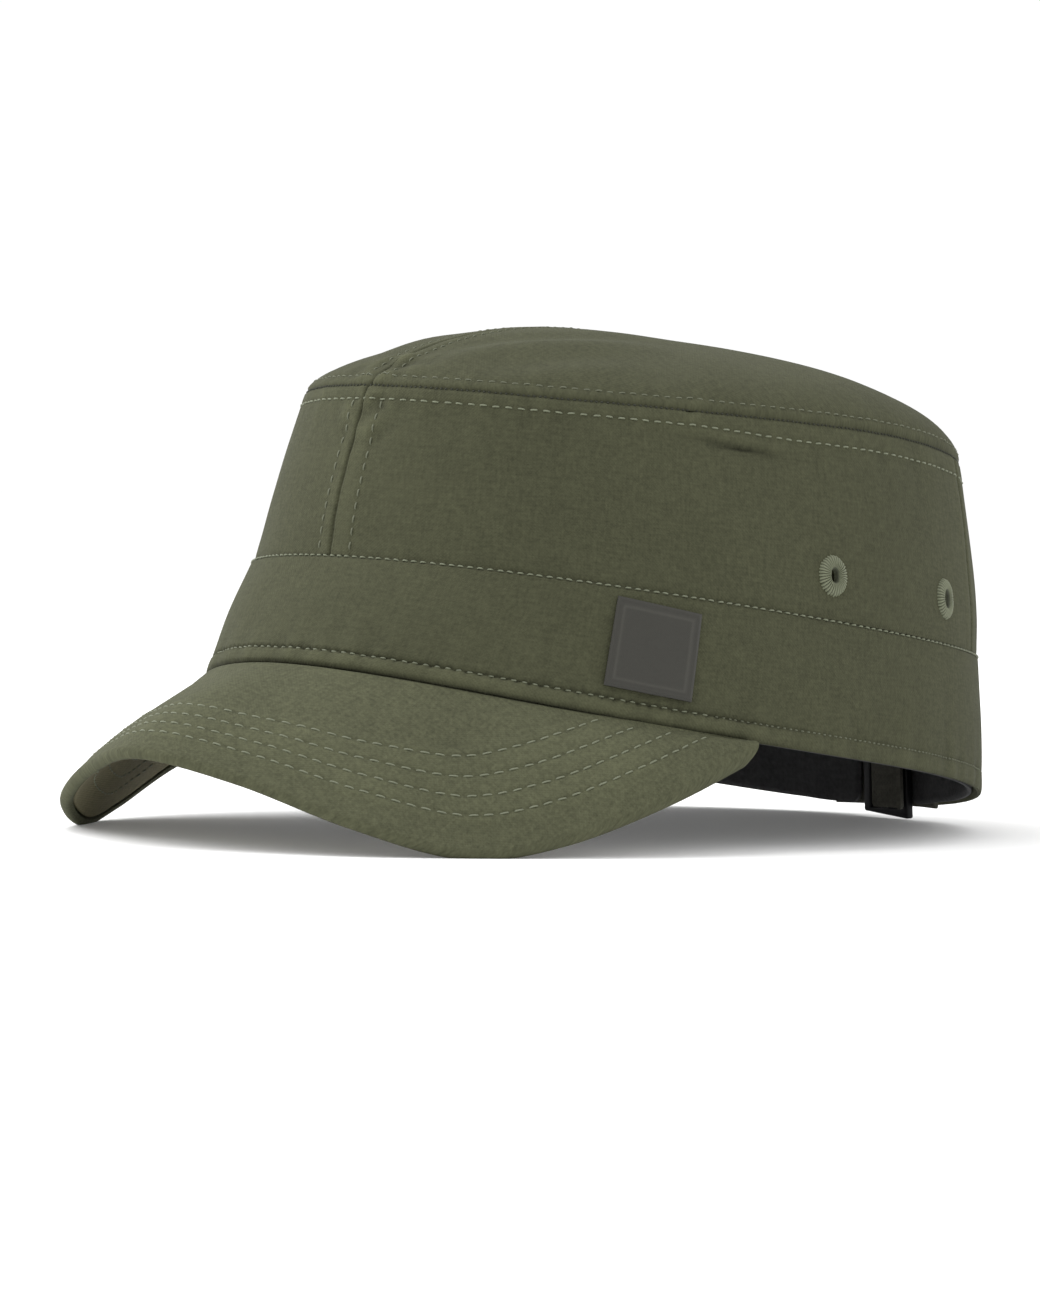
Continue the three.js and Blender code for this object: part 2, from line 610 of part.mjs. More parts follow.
for (const [place, turn] of LEFT_EYELETS) {
  for (const [name, side] of [['left', 1], ['right', -1]]) {
    const { foot, turned } = eyeletFrame(side * turn);
    const mesh = addPiece(`eyelet_${name}_${place}`, eyelet(), THREAD);
    mesh.position.copy(foot);
    mesh.quaternion.copy(turned);
  }
}

// The origin is on the table, under the middle of the cap
const placed = new THREE.Group();
placed.add(cap);
placed.updateMatrixWorld(true);
const extent = new THREE.Box3().setFromObject(placed, true);
const middle = extent.getCenter(new THREE.Vector3());
cap.position.set(-middle.x, -middle.y, -extent.min.z);

export default placed;
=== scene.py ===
# %% [markdown]
# A military cap in olive cloth, dressed for a render.
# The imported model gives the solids, and this lesson covers each of them with a finer piece.
# Every piece is worked out from the curves of the solid that it covers, with nearly all of
# its sizes.
# Lengths are in millimetres until the last step of each piece, where they become metres.

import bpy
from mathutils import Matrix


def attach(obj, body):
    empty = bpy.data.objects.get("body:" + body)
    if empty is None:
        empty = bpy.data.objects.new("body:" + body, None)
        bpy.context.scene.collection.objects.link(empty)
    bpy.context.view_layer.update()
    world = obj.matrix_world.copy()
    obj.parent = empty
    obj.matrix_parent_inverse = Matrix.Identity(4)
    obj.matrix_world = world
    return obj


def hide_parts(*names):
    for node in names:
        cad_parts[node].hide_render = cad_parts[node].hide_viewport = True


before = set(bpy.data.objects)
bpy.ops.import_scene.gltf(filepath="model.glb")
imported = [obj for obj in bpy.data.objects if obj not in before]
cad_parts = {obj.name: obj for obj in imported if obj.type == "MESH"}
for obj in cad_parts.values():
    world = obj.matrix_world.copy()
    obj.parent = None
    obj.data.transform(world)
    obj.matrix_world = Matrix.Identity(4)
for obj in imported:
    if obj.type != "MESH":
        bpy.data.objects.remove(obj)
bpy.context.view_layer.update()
print("nodes in the packed model:", len(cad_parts))

# %% The other tools that the lesson uses
from math import cos, pi, radians, sin

import bmesh
import bpy
import numpy as np
from mathutils import Matrix, Vector

# %% [markdown]
# The cap was drawn level, with its rim near height 0, and then tilted back to lie on a table.
# The camera was worked out for the level cap too, so both are moved by the same small turn.
# Keeping one function for that move means that no piece can end up somewhere else.

# %% From the level cap to the table
TILT = radians(6.535893)
LAID_AT = np.array([0, 16.847258, 20.712841])
MM = 0.001


def laid(points):
    """Points of the level cap, in mm, as they lie on the table."""
    x, y, z = np.moveaxis(np.asarray(points, float), -1, 0)
    turned = np.stack([x, y * cos(TILT) + z * sin(TILT), z * cos(TILT) - y * sin(TILT)], -1)
    return turned + LAID_AT


print("the level origin lies at", laid([0, 0, 0]).round(2), "mm")

# %% [markdown]
# The photograph looks at the wearer's left front, from just above the table.
# A long lens stands well back from the cap, as in a product picture.
# Its place, lens and shift were solved from the rim, the seams and the peak's edge.

# %% The camera
AZIMUTH = radians(43.07)
ELEVATION = radians(-2.035)
ROLL = radians(5.867)
CAMERA_DISTANCE = 1414.8
PIXELS_PER_MM = 4.298
PICTURE_WIDTH = 1040
PICTURE_HEIGHT = 1300
MIDDLE_X = 579.06
MIDDLE_Y = 738.82
SENSOR = 36

away = np.array([sin(AZIMUTH) * cos(ELEVATION), -cos(AZIMUTH) * cos(ELEVATION), sin(ELEVATION)])
level_right = np.array([cos(AZIMUTH), sin(AZIMUTH), 0])
level_up = np.cross(away, level_right)
right = level_right * cos(ROLL) + level_up * sin(ROLL)
up = level_up * cos(ROLL) - level_right * sin(ROLL)
axes = [laid(axis) - LAID_AT for axis in (right, up, away)]

camera_data = bpy.data.cameras.new("photo_camera")
camera_data.sensor_width = SENSOR
camera_data.lens = PIXELS_PER_MM * CAMERA_DISTANCE * SENSOR / PICTURE_HEIGHT
camera_data.shift_x = (PICTURE_WIDTH / 2 - MIDDLE_X) / PICTURE_HEIGHT
camera_data.shift_y = (MIDDLE_Y - PICTURE_HEIGHT / 2) / PICTURE_HEIGHT
camera_data.clip_start = 0.05
camera_data.clip_end = 30
camera = bpy.data.objects.new("photo_camera", camera_data)
bpy.context.scene.collection.objects.link(camera)
placed = Matrix([list(column) for column in axes]).transposed().to_4x4()
placed.translation = Vector(laid(CAMERA_DISTANCE * away) * MM)
camera.matrix_world = placed
bpy.context.scene.camera = camera
print("lens", round(camera_data.lens, 1), "mm, camera", round(placed.translation.z, 3), "m above the table")

# %% [markdown]
# A cap's wall is a sheet that passes through three rings: the rim, the seam over the band, and
# the top seam. Each ring is a rounded oval that a few named shares bend, so the whole wall
# needs no list of points. The numbers are those of the solid model.

# %% Sizes of the cap
HEAD_WIDTH = 165
HEAD_LENGTH = 205
BAND_HEIGHT = 30
CROWN_HEIGHT = 42
DOME_HEIGHT = 22.5
WALL_HEIGHT = BAND_HEIGHT + CROWN_HEIGHT
CROWN_CLOTH = 1.5
BAND_CLOTH = 2
SEAM_GAP = 0.3
BAND_STEP = 0.5
BAND_FULLNESS = 0.6
CROWN_FULLNESS = 0.9

RINGS = {
    "rim": dict(width=0.99, length=1, shift=0.0233, taper=0.049, square=-0.011,
                base=0.0025, lift=0.0264, arch=0.0028, wave=0.006),
    "seam": dict(width=0.932, length=0.917, shift=0.0368, taper=0.039, square=0,
                 base=0.0041, lift=0.0083, arch=0.0025, wave=0),
    "top": dict(width=0.816, length=0.84, shift=0.0317, taper=0.068, square=0,
                base=0.0045, lift=0, arch=-0.0091, wave=0.0045),
}
print("wall height", WALL_HEIGHT, "mm, over", len(RINGS), "rings")


# %% Points of a ring and of the wall
def ring_point(ring, height, turn):
    """Turn is in degrees, from the front towards the wearer's left."""
    angle = np.radians(turn)
    side = np.sin(angle) + ring["square"] * np.sin(3 * angle)
    front = np.cos(angle) - ring["square"] * np.cos(3 * angle)
    x = HEAD_WIDTH / 2 * ring["width"] * side * (1 - ring["taper"] * np.cos(angle))
    y = HEAD_LENGTH * ring["shift"] - HEAD_LENGTH / 2 * ring["length"] * front
    rise = ring["base"] + ring["lift"] * np.cos(angle)
    rise = rise + ring["arch"] * np.cos(2 * angle) + ring["wave"] * np.cos(3 * angle)
    return np.stack(np.broadcast_arrays(x, y, height + HEAD_LENGTH * rise), -1)


def face_point(turn, climb):
    """The wall's face, from the rim at climb 0 over the band to the top seam."""
    turn, climb = np.broadcast_arrays(np.asarray(turn, float), np.asarray(climb, float))
    in_band = climb <= BAND_HEIGHT
    share = np.where(in_band, climb / BAND_HEIGHT, (climb - BAND_HEIGHT) / CROWN_HEIGHT)
    ring = {}
    for column in RINGS["rim"]:
        low = np.where(in_band, RINGS["rim"][column], RINGS["seam"][column])
        high = np.where(in_band, RINGS["seam"][column], RINGS["top"][column])
        ring[column] = low + (high - low) * share
    swell = np.where(in_band, BAND_FULLNESS, CROWN_FULLNESS) * np.sin(pi * share)
    angle = np.radians(turn)
    point = ring_point(ring, climb, turn)
    point[..., 0] += swell * np.sin(angle)
    point[..., 1] -= swell * np.cos(angle)
    return point


def way_out(face, a, b, step):
    """The unit way out of a face, from its slope in both directions."""
    along = face(a + step, b) - face(a - step, b)
    upward = face(a, b + step) - face(a, b - step)
    across = np.cross(along, upward)
    return across / np.linalg.norm(across, axis=-1, keepdims=True)


def wall_out(turn, climb):
    return way_out(face_point, turn, np.clip(climb, 1, WALL_HEIGHT - 1), 0.5)


def wall_point(turn, climb, out):
    """A point of the wall, moved out of its face by a length in mm."""
    return face_point(turn, climb) + wall_out(turn, climb) * np.asarray(out)[..., None]


print("front of the rim", face_point(0, 0).round(1), "mm")

# %% [markdown]
# Seams, folds and stitches are spaced in mm along the cloth, not in degrees. A table of lengths
# round the wall, taken at four heights, turns one into the other.

# %% Lengths along the wall
TABLE_TURNS = np.linspace(-360, 360, 2881)


def run_lengths(line):
    """How far each point of a line is from its first point, along the line."""
    return np.concatenate([[0], np.linalg.norm(np.diff(line, axis=0), axis=1).cumsum()])


def arc_table(climb):
    lengths = run_lengths(face_point(TABLE_TURNS, climb))
    return lengths - np.interp(0, TABLE_TURNS, lengths)


ARCS = {climb: arc_table(climb) for climb in (0, BAND_HEIGHT, BAND_HEIGHT + CROWN_HEIGHT / 2, WALL_HEIGHT)}


def arc(turn, climb=BAND_HEIGHT):
    """How far a turn is from the front along the wall, in mm."""
    return np.interp(turn, TABLE_TURNS, ARCS[climb])


print("the rim is", round(float(arc(360, 0))), "mm round")

# %% [markdown]
# Cloth that is sewn down isn't smooth. The folded seam allowance makes a low ridge, the seam
# itself a sharp valley, and each row of stitches a shallow groove. The cloth also gathers a
# little between the rows. All of that is added as small moves out of the face, in mm.

# %% How sewn cloth rises and dips
STITCH_PITCH = 3.2
VALLEY_WIDTH = 0.36


def bell(distance, width):
    """1 at no distance, fading to 0 on both sides."""
    return np.exp(-(distance / width) ** 2)


def slope(distance, start, end):
    """Runs smoothly from 0 at start to 1 at end."""
    share = np.clip((distance - start) / (end - start), 0, 1)
    return share * share * (3 - 2 * share)


def sewn_ridge(distance, row, height=0.12, valley=0.5, groove=0.22):
    """Relief beside a seam with a row of stitches at a distance from it."""
    gap = np.abs(distance)
    ridge = height * (1 - slope(gap, row - 0.4, row + 1.4))
    return ridge - valley * bell(gap, VALLEY_WIDTH) - groove * bell(gap - row, 0.5)


WAVES = 9


def uneven(seed, u, v, size):
    """Soft, repeatable unevenness of about -1 to 1, with bumps of about the given size."""
    shaker = np.random.default_rng(seed)
    total = 0
    for number in range(WAVES):
        heading = shaker.uniform(0, 2 * pi)
        pitch = size * shaker.uniform(0.7, 1.6)
        phase = shaker.uniform(0, 2 * pi)
        total = total + np.sin(2 * pi * (u * cos(heading) + v * sin(heading)) / pitch + phase)
    return total / WAVES ** 0.5 / 1.4


def gathers(seed, along, distance, reach=7, amount=0.16):
    """Small folds that stand across a seam and fade out away from it."""
    folds = uneven(seed, along, seed, 9) + 0.6 * np.sin(2 * pi * along / (2.3 * STITCH_PITCH))
    return amount * folds * np.exp(-np.abs(distance) / reach)


print("ridge beside a seam:", sewn_ridge(np.array([0, 2, 4, 6]), 4).round(2), "mm")

# %% [markdown]
# Every cloth piece is a closed shell: an outer grid of points, an inner one, and a wall round
# each open edge. A Solidify modifier could give the thickness, but two grids can differ, so that
# the inside stays calm. A grid keeps its lengths along the cloth as a UV map in mm, which the
# weave follows, and the height of its relief, which the colour follows as painted shade in the
# hollows and a painted highlight on the ridges.

# %% From two grids to a cloth piece
def cell_faces(columns, rows, closed, kept):
    """The corners of each kept cell of a grid, and whether each of its four sides is open."""
    spans = columns if closed else columns - 1
    kept = np.ones((spans, rows - 1), bool) if kept is None else kept
    i, j = np.nonzero(kept)
    after = (i + 1) % columns
    corners = np.stack([i * rows + j, after * rows + j, after * rows + j + 1, i * rows + j + 1], 1)
    no_cell = np.zeros((spans, 1), bool)
    below = np.concatenate([no_cell, kept[:, :-1]], 1)
    above = np.concatenate([kept[:, 1:], no_cell], 1)
    before, beyond = np.roll(kept, 1, 0), np.roll(kept, -1, 0)
    if not closed:
        before[0] = False
        beyond[-1] = False
    return corners, [~neighbour[i, j] for neighbour in (below, beyond, above, before)]


def linked(name, mesh):
    """Every piece of the cap rides on its one body."""
    piece = bpy.data.objects.new(name, mesh)
    bpy.context.scene.collection.objects.link(piece)
    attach(piece, "root")
    return piece


def mesh_piece(name, points, faces, lengths=None, relief=None, sharp=50):
    """A smooth piece from points in mm and faces of four corners; wider angles than sharp stay edges."""
    mesh = bpy.data.meshes.new(name)
    mesh.vertices.add(len(points))
    mesh.vertices.foreach_set("co", (points * MM).astype(np.float32).ravel())
    flat = faces.astype(np.int32).ravel()
    mesh.loops.add(len(flat))
    mesh.loops.foreach_set("vertex_index", flat)
    mesh.polygons.add(len(faces))
    mesh.polygons.foreach_set("loop_start", np.arange(0, len(flat), 4, dtype=np.int32))
    if lengths is not None:
        layer = mesh.uv_layers.new(name="cloth")
        layer.uv.foreach_set("vector", lengths[flat].astype(np.float32).ravel())
    if relief is not None:
        attribute = mesh.attributes.new("relief", "FLOAT", "POINT")
        attribute.data.foreach_set("value", relief.astype(np.float32).ravel())
    mesh.update(calc_edges=True)
    mesh.validate()
    tidy = bmesh.new()
    tidy.from_mesh(mesh)
    bmesh.ops.remove_doubles(tidy, verts=tidy.verts, dist=1e-6)
    bmesh.ops.dissolve_degenerate(tidy, edges=tidy.edges, dist=1e-7)
    tidy.to_mesh(mesh)
    tidy.free()
    mesh.shade_smooth()
    mesh.set_sharp_from_angle(angle=radians(sharp))
    return linked(name, mesh)


def cloth_shell(name, outer, inner, lengths, relief, closed=False, kept=None, sharp=50, lying=False):
    """A closed shell from two grids of the level cap, or of the cap as it already lies."""
    columns, rows = outer.shape[:2]
    count = columns * rows
    corners, open_sides = cell_faces(columns, rows, closed, kept)
    faces = [corners, corners[:, ::-1] + count]
    for side, is_open in enumerate(open_sides):
        start = corners[is_open, side]
        end = corners[is_open, (side + 1) % 4]
        faces.append(np.stack([end, start, start + count, end + count], 1))
    points = np.concatenate([outer.reshape(-1, 3), inner.reshape(-1, 3)])
    both = np.concatenate([lengths.reshape(-1, 2)] * 2)
    reliefs = np.concatenate([relief.reshape(-1), np.zeros(count)])
    points = points if lying else laid(points)
    piece = mesh_piece(name, points, np.concatenate(faces), both, reliefs, sharp)
    print(name, "faces:", len(piece.data.polygons))
    return piece


# %% Grid lines that crowd where the detail is
def crowded(start, end, spacing, fine, places, reach):
    """Values from start to end, fine mm apart near the places and spacing mm apart elsewhere."""
    values = [start]
    while values[-1] < end:
        nearest = min(abs(values[-1] - place) for place in places)
        share = min(nearest / reach, 1)
        values.append(values[-1] + fine + (spacing - fine) * share)
    values = np.array(values)
    return start + (values - start) * (end - start) / (values[-1] - start)


print("rows of a test grid:", len(crowded(0, 40, 1.2, 0.4, [0, 40], 6)))

# %% [markdown]
# The crown's wall is three panels. The real ones are cut flat and pulled round the head, so
# they keep faint dents and ripples between their seams. The seams lie in the front middle and
# a little behind each side. The front one has a row of stitches on both of its sides.
# A cloth simulation makes such dents too, but not in chosen places, so functions set them.

# %% Relief of the crown's wall
SIDE_SEAM_TURN = 125
FRONT_ROW = 4.5
TOP_ROW_BELOW = 3.4
TOP_ROW_DROP = 0.8
TOP_ROW_ABOVE = 3.0
SIDE_RIDGE = 3.6
MID_CROWN = BAND_HEIGHT + CROWN_HEIGHT / 2
SIDE_ARC = arc(SIDE_SEAM_TURN, MID_CROWN)
KNOT_TURN = 61
FRONT_VALLEY = -1.0
PUCKER_TURN = 69
EYELET_TURNS = dict(front=84.3, rear=112.2)
EYELET_CLIMB = 39.5
HOLE_REACH = 2.1
TOUCHING = 0.02
LAPPED = 0.05
FLUSH_BEHIND = 0.3
CRUMPLE = 0.62


def crown_depth(climb):
    """How far the crown stands back from the band, least at the top."""
    return BAND_STEP * (WALL_HEIGHT - climb) / CROWN_HEIGHT


def row_below(turn):
    """The row under the top seam runs closer to it in front of the knot than behind it."""
    aside = np.abs(np.mod(turn + 180, 360) - 180)
    return TOP_ROW_BELOW + TOP_ROW_DROP * slope(aside, KNOT_TURN, KNOT_TURN + 20)


def pucker(turn, climb):
    """The small sag in the cloth behind the knot."""
    line = 65.5 - 0.1 * (turn - KNOT_TURN)
    along = arc(turn, MID_CROWN) - arc(PUCKER_TURN, MID_CROWN)
    return (0.35 * bell(climb - line - 1.7, 1.1) - 0.95 * bell(climb - line, 0.8)) * bell(along, 11)


def crumpled(seed, along, from_seam):
    """The cloth bunches a little where the front seam meets the top."""
    fade = bell(along - 1, 9) * slope(from_seam, 0.5, 3) * (1 - slope(from_seam, 8, 20))
    return CRUMPLE * uneven(seed, along * 1.3, from_seam * 0.8, 7) * fade


def wall_unevenness(turn, climb):
    """Soft dents that pass over the seams, so that both of their sides meet."""
    along = arc(turn, MID_CROWN)
    calm = slope(climb, BAND_HEIGHT, BAND_HEIGHT + 8) * (1 - 0.6 * slope(climb, WALL_HEIGHT - 9, WALL_HEIGHT))
    dents = 0.42 * uneven(3, along, climb * 1.3, 62) + 0.12 * uneven(5, along, climb, 24)
    aside = np.abs(np.mod(turn + 180, 360) - 180)
    flush = FLUSH_BEHIND * slope(aside, 60, 110) * (WALL_HEIGHT - climb) / CROWN_HEIGHT
    return flush + dents * calm


def crown_relief(turn, climb):
    """The crown's cloth at its seams and rows, with the knot behind which it sags."""
    along = arc(turn, MID_CROWN)
    from_top = WALL_HEIGHT - climb
    side_seams = [SIDE_ARC, -SIDE_ARC, arc(360, MID_CROWN) - SIDE_ARC]
    from_side = np.min([np.abs(along - seam) for seam in side_seams], axis=0)
    past_knot = along - arc(KNOT_TURN, MID_CROWN)
    row = row_below(turn)
    relief = sewn_ridge(from_top, row)
    relief = relief + sewn_ridge(along, FRONT_ROW, 0.2, 0)
    relief = relief - 0.65 * bell(along - FRONT_VALLEY, VALLEY_WIDTH)
    side_ridge = 0.16 * (1 - slope(from_side, SIDE_RIDGE - 1, SIDE_RIDGE + 2))
    relief = relief + side_ridge - 0.5 * bell(from_side, 0.7)
    relief = relief + gathers(11, along, from_top - row, 8, 0.1)
    relief = relief + gathers(13, climb, along, 6, 0.08) * (np.abs(along) < 25)
    relief = relief - 0.1 * bell(climb - BAND_HEIGHT, 0.8) + crumpled(83, along, from_top)
    knot = 0.4 * bell(past_knot, 2.2) * bell(from_top - 2, 2.4)
    pleat = 0.35 * bell(past_knot - 0.5 * from_top, 0.6) * bell(from_top - 2, 3)
    dimple = 0.6 * bell(past_knot, 0.9) * bell(from_top, 0.8)
    return relief + wall_unevenness(turn, climb) + knot + pucker(turn, climb) - pleat - dimple


print("the side seams are", round(float(SIDE_ARC)), "mm along the wall from the front seam")

# %% [markdown]
# Each panel is one grid between two seams, with its lines close together near both of them and
# near the top. Cells round an eyelet's middle are left out, so that the eyelets have real holes.

# %% The three panels of the crown's wall
def crown_panel(name, start, end):
    per_turn = (arc(end, MID_CROWN) - arc(start, MID_CROWN)) / (end - start)
    edge = TOUCHING / per_turn
    lines = crowded(start + edge, end - edge, 1.5 / per_turn, 0.35 / per_turn, [start, end], 9 / per_turn)
    foot, head = BAND_HEIGHT + TOUCHING, WALL_HEIGHT - TOUCHING
    climbs = crowded(foot, head, 1.3, 0.35, [BAND_HEIGHT, WALL_HEIGHT - 3], 7)
    turn, climb = np.meshgrid(lines, climbs, indexing="ij")
    relief = crown_relief(turn, climb)
    outer = wall_point(turn, climb, relief - crown_depth(climb))
    inner = wall_point(turn, climb, np.minimum(relief, 0.2) - crown_depth(climb) - CROWN_CLOTH)
    lengths = np.stack([arc(turn, MID_CROWN), climb], -1)
    middles = (lengths[1:, 1:] + lengths[:-1, :-1]) / 2
    kept = np.ones(middles.shape[:2], bool)
    for hole_turn in EYELET_TURNS.values():
        for side in (-1, 1):
            hole = (arc(side * hole_turn, MID_CROWN), EYELET_CLIMB)
            kept &= np.linalg.norm(middles - hole, axis=-1) > HOLE_REACH
    return cloth_shell(name, outer, inner, lengths, relief - wall_unevenness(turn, climb), kept=kept)


crown_left = crown_panel("crown_left_cloth", 0, SIDE_SEAM_TURN)
crown_right = crown_panel("crown_right_cloth", -SIDE_SEAM_TURN, 0)
crown_back = crown_panel("crown_back_cloth", SIDE_SEAM_TURN, 360 - SIDE_SEAM_TURN)
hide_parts("crown_left_panel")
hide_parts("crown_right_panel")
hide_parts("crown_back_panel")

# %% [markdown]
# The top is two half ovals that meet in a seam from front to back. It swells up from the top
# seam and lies flatter in the middle. A cage with a Subdivision modifier could be shaped like
# it, but this curve starts exactly on the top seam, all the way round.
# The polar grid has its lines close together near the middle seam, where the stitches are.

# %% The domed top
DOME_POWER_FRONT = 0.7
DOME_POWER_BACK = 0.47
MIDDLE_ROW = 3.2
SLANT_COLUMNS = 72
SLANT_STEPS = 240
DOME_MIDDLE = np.array([0, HEAD_LENGTH * RINGS["top"]["shift"], WALL_HEIGHT])


def dome_point(turn, reach):
    """Reach runs from 0 in the middle of the top to 1 at the top seam."""
    turn, reach = np.broadcast_arrays(np.asarray(turn, float), np.asarray(reach, float))
    edge = ring_point(RINGS["top"], WALL_HEIGHT, turn)
    power = DOME_POWER_BACK + (DOME_POWER_FRONT - DOME_POWER_BACK) * (1 + np.cos(np.radians(turn))) / 2
    point = DOME_MIDDLE + (edge - DOME_MIDDLE) * reach[..., None]
    rise = DOME_HEIGHT * (1 - reach * reach) ** power
    point[..., 2] = DOME_MIDDLE[2] + (edge[..., 2] - DOME_MIDDLE[2]) * reach * reach + rise
    return point


def dome_out(turn, reach):
    """The way out of the dome, from its slope outwards and round."""
    step = 0.004
    low = np.clip(reach, step, 0.992) - step
    high = low + 2 * step
    outward = dome_point(turn, high) - dome_point(turn, low)
    off_middle = np.maximum(reach, 0.05)
    around = dome_point(turn + 0.5, off_middle) - dome_point(turn - 0.5, off_middle)
    across = np.cross(around, -outward)
    return across / np.linalg.norm(across, axis=-1, keepdims=True)


def slant_table():
    """Distances over the cloth to the top seam, closer together near that seam."""
    reaches = 1 - np.linspace(0, 1, SLANT_STEPS + 1) ** 2
    turns = np.linspace(0, 360, SLANT_COLUMNS + 1)
    return np.array([run_lengths(dome_point(turn, reaches)) for turn in turns])


SLANTS = slant_table()


def dome_slant(turn, reach):
    """Distance to the top seam over the cloth, in mm."""
    column = np.mod(turn, 360) / (360 / SLANT_COLUMNS)
    low = np.floor(column).astype(int)
    share = column - low
    place = np.sqrt(np.clip(1 - reach, 0, 1)) * SLANT_STEPS
    row = np.minimum(np.floor(place).astype(int), SLANT_STEPS - 1)
    rest = place - row
    at = []
    for side in (low, np.minimum(low + 1, SLANT_COLUMNS)):
        at.append(SLANTS[side, row] * (1 - rest) + SLANTS[side, row + 1] * rest)
    return at[0] * (1 - share) + at[1] * share


print("slant of the dome at its front:", dome_slant(np.array([0.0]), np.array([0.0])).round(1), "mm")

# %% [markdown]
# Cloth that is worn goes slack in long folds. Each crease here is a line in plan with a ridge on
# one of its sides and a hollow on the other, which fades towards its end. They lie in front.

# %% Relief of the top
CREASES = [
    dict(start=(10, -66), end=(36, -8), width=4.2, depth=0.7),
    dict(start=(-12, -64), end=(-34, -20), width=4.5, depth=0.35),
    dict(start=(52, -34), end=(20, 6), width=5, depth=0.4),
    dict(start=(30, -62), end=(44, -30), width=3.2, depth=0.4),
]


def crease(point, start, end, width, depth):
    """A soft fold along a line in plan, deepest near its start."""
    line = np.array(end) - np.array(start)
    length = np.linalg.norm(line)
    offset = point[..., :2] - np.array(start)
    along = offset @ line / length
    aside = (offset[..., 0] * line[1] - offset[..., 1] * line[0]) / length
    share = np.clip(along / length, 0, 1)
    fade = slope(along, -12, 8) * (1 - slope(share, 0.35, 1))
    return depth * fade * (bell(aside - width, width) - bell(aside + width, width))


def dome_relief(turn, reach):
    """The top's cloth at its seams and rows."""
    point = dome_point(turn, reach)
    slant = dome_slant(turn, reach)
    around = arc(turn, WALL_HEIGHT)
    relief = sewn_ridge(slant, TOP_ROW_ABOVE)
    relief = relief + sewn_ridge(point[..., 0], MIDDLE_ROW, 0.2, 0.6, 0.22)
    relief = relief + gathers(17, around, slant - TOP_ROW_ABOVE, 8, 0.1)
    relief = relief + gathers(19, point[..., 1], point[..., 0], 7, 0.08) + crumpled(89, around, slant)
    knot = bell(around - arc(KNOT_TURN, WALL_HEIGHT), 2.4) * bell(slant - 1.5, 3)
    return relief + 0.45 * knot


def dome_unevenness(turn, reach):
    """Soft dents and creases, which leave the seam alone."""
    point = dome_point(turn, reach)
    slant = dome_slant(turn, reach)
    x, y = point[..., 0], point[..., 1]
    dents = 0.45 * uneven(23, x, y, 70) + 0.1 * uneven(29, x, y, 26)
    creases = sum(crease(point, **fold) for fold in CREASES)
    return slope(slant, 2, 14) * dents + slope(slant, 1, 7) * creases


print("creases on the top:", len(CREASES))


# %% The two halves of the top
DEEPEST_CLOTH = 1.7 * CROWN_CLOTH


def top_panel(name, side):
    half = crowded(0, 180, 2.6, 0.35, [0, 180], 40)
    slants = crowded(0, 1, 0.034, 0.004, [0], 0.16)
    turn, reach = np.meshgrid(half, 1 - slants, indexing="ij")
    if side < 0:
        turn = turn - 180
    relief = dome_relief(turn, reach)
    moved = relief + dome_unevenness(turn, reach)
    beside = np.array([-side * LAPPED, 0, 0])
    out = dome_out(turn, reach)
    outer = dome_point(turn, reach) + out * moved[..., None] + beside
    inner = dome_point(turn, reach) + out * (np.minimum(moved, 0.2) - CROWN_CLOTH)[..., None] + beside
    inner[..., 2] = np.maximum(inner[..., 2], outer[..., 2] - DEEPEST_CLOTH)
    lengths = dome_point(turn, reach)[..., :2]
    return cloth_shell(name, outer, inner, lengths, relief)


top_left = top_panel("top_left_cloth", 1)
top_right = top_panel("top_right_cloth", -1)
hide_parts("top_left_panel")
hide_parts("top_right_panel")

# %% [markdown]
# The band is folded over at its top, where it stands a little proud of the crown, and turned
# in at its hem, which looks like piping. At the back an arch is cut out for the strap.
# A Boolean modifier could cut it, but it would break up the grid and its UV map. So the grid
# leaves out the cells in the arch, and its columns above it start at the arch's edge.

# %% Where the back slot and the strap stand
BACK_TURN = 173.2
SLOT_WIDTH = 24
SLOT_HEIGHT = 25
STRAP_HEIGHT = 20
STRAP_DEPTH = BAND_CLOTH + SEAM_GAP
back_foot = wall_point(BACK_TURN, 0, -STRAP_DEPTH)
back_rise = wall_point(BACK_TURN, STRAP_HEIGHT, -STRAP_DEPTH) - back_foot
back_out = wall_point(BACK_TURN, 0, 1 - STRAP_DEPTH) - back_foot
BACK_LEAN = np.arctan2(np.hypot(back_rise[0], back_rise[1]), back_rise[2])
BACK_YAW = np.arctan2(-back_out[0], back_out[1])
BACK_TURNING = np.array(Matrix.Rotation(BACK_YAW, 3, "Z") @ Matrix.Rotation(pi / 2 + BACK_LEAN, 3, "X"))
BACK_RADIUS = HEAD_WIDTH / 2 * (1 + RINGS["rim"]["taper"]) * (1 + 3 * RINGS["rim"]["square"])


def stood_at_back(points):
    """Points drawn along the strap, up the wall and towards the head, stood on the back wall."""
    return np.asarray(points) @ BACK_TURNING.T + back_foot


def turns_aside(along):
    """Degrees round the wall for a length along the back."""
    return np.degrees(np.arcsin(along / BACK_RADIUS))


print("the back wall leans", round(float(np.degrees(BACK_LEAN)), 1), "degrees")

# %% The hem and the relief of the band
HEM_HEIGHT = 4
HEM_PUFF = 0.5
HEM_PITCH = 2.5
HEM_FLAT = 0.12
PUFF_CALMER = 0.28
PUFF_START = 66
PUFF_END = 84
BAND_TOP_ROW = 0.35


def over_peak(turn):
    """1 in front, where the hem is rolled over the peak, and 0 at the sides and the back."""
    return 1 - slope(np.abs(np.mod(turn + 180, 360) - 180), PUFF_START, PUFF_END)


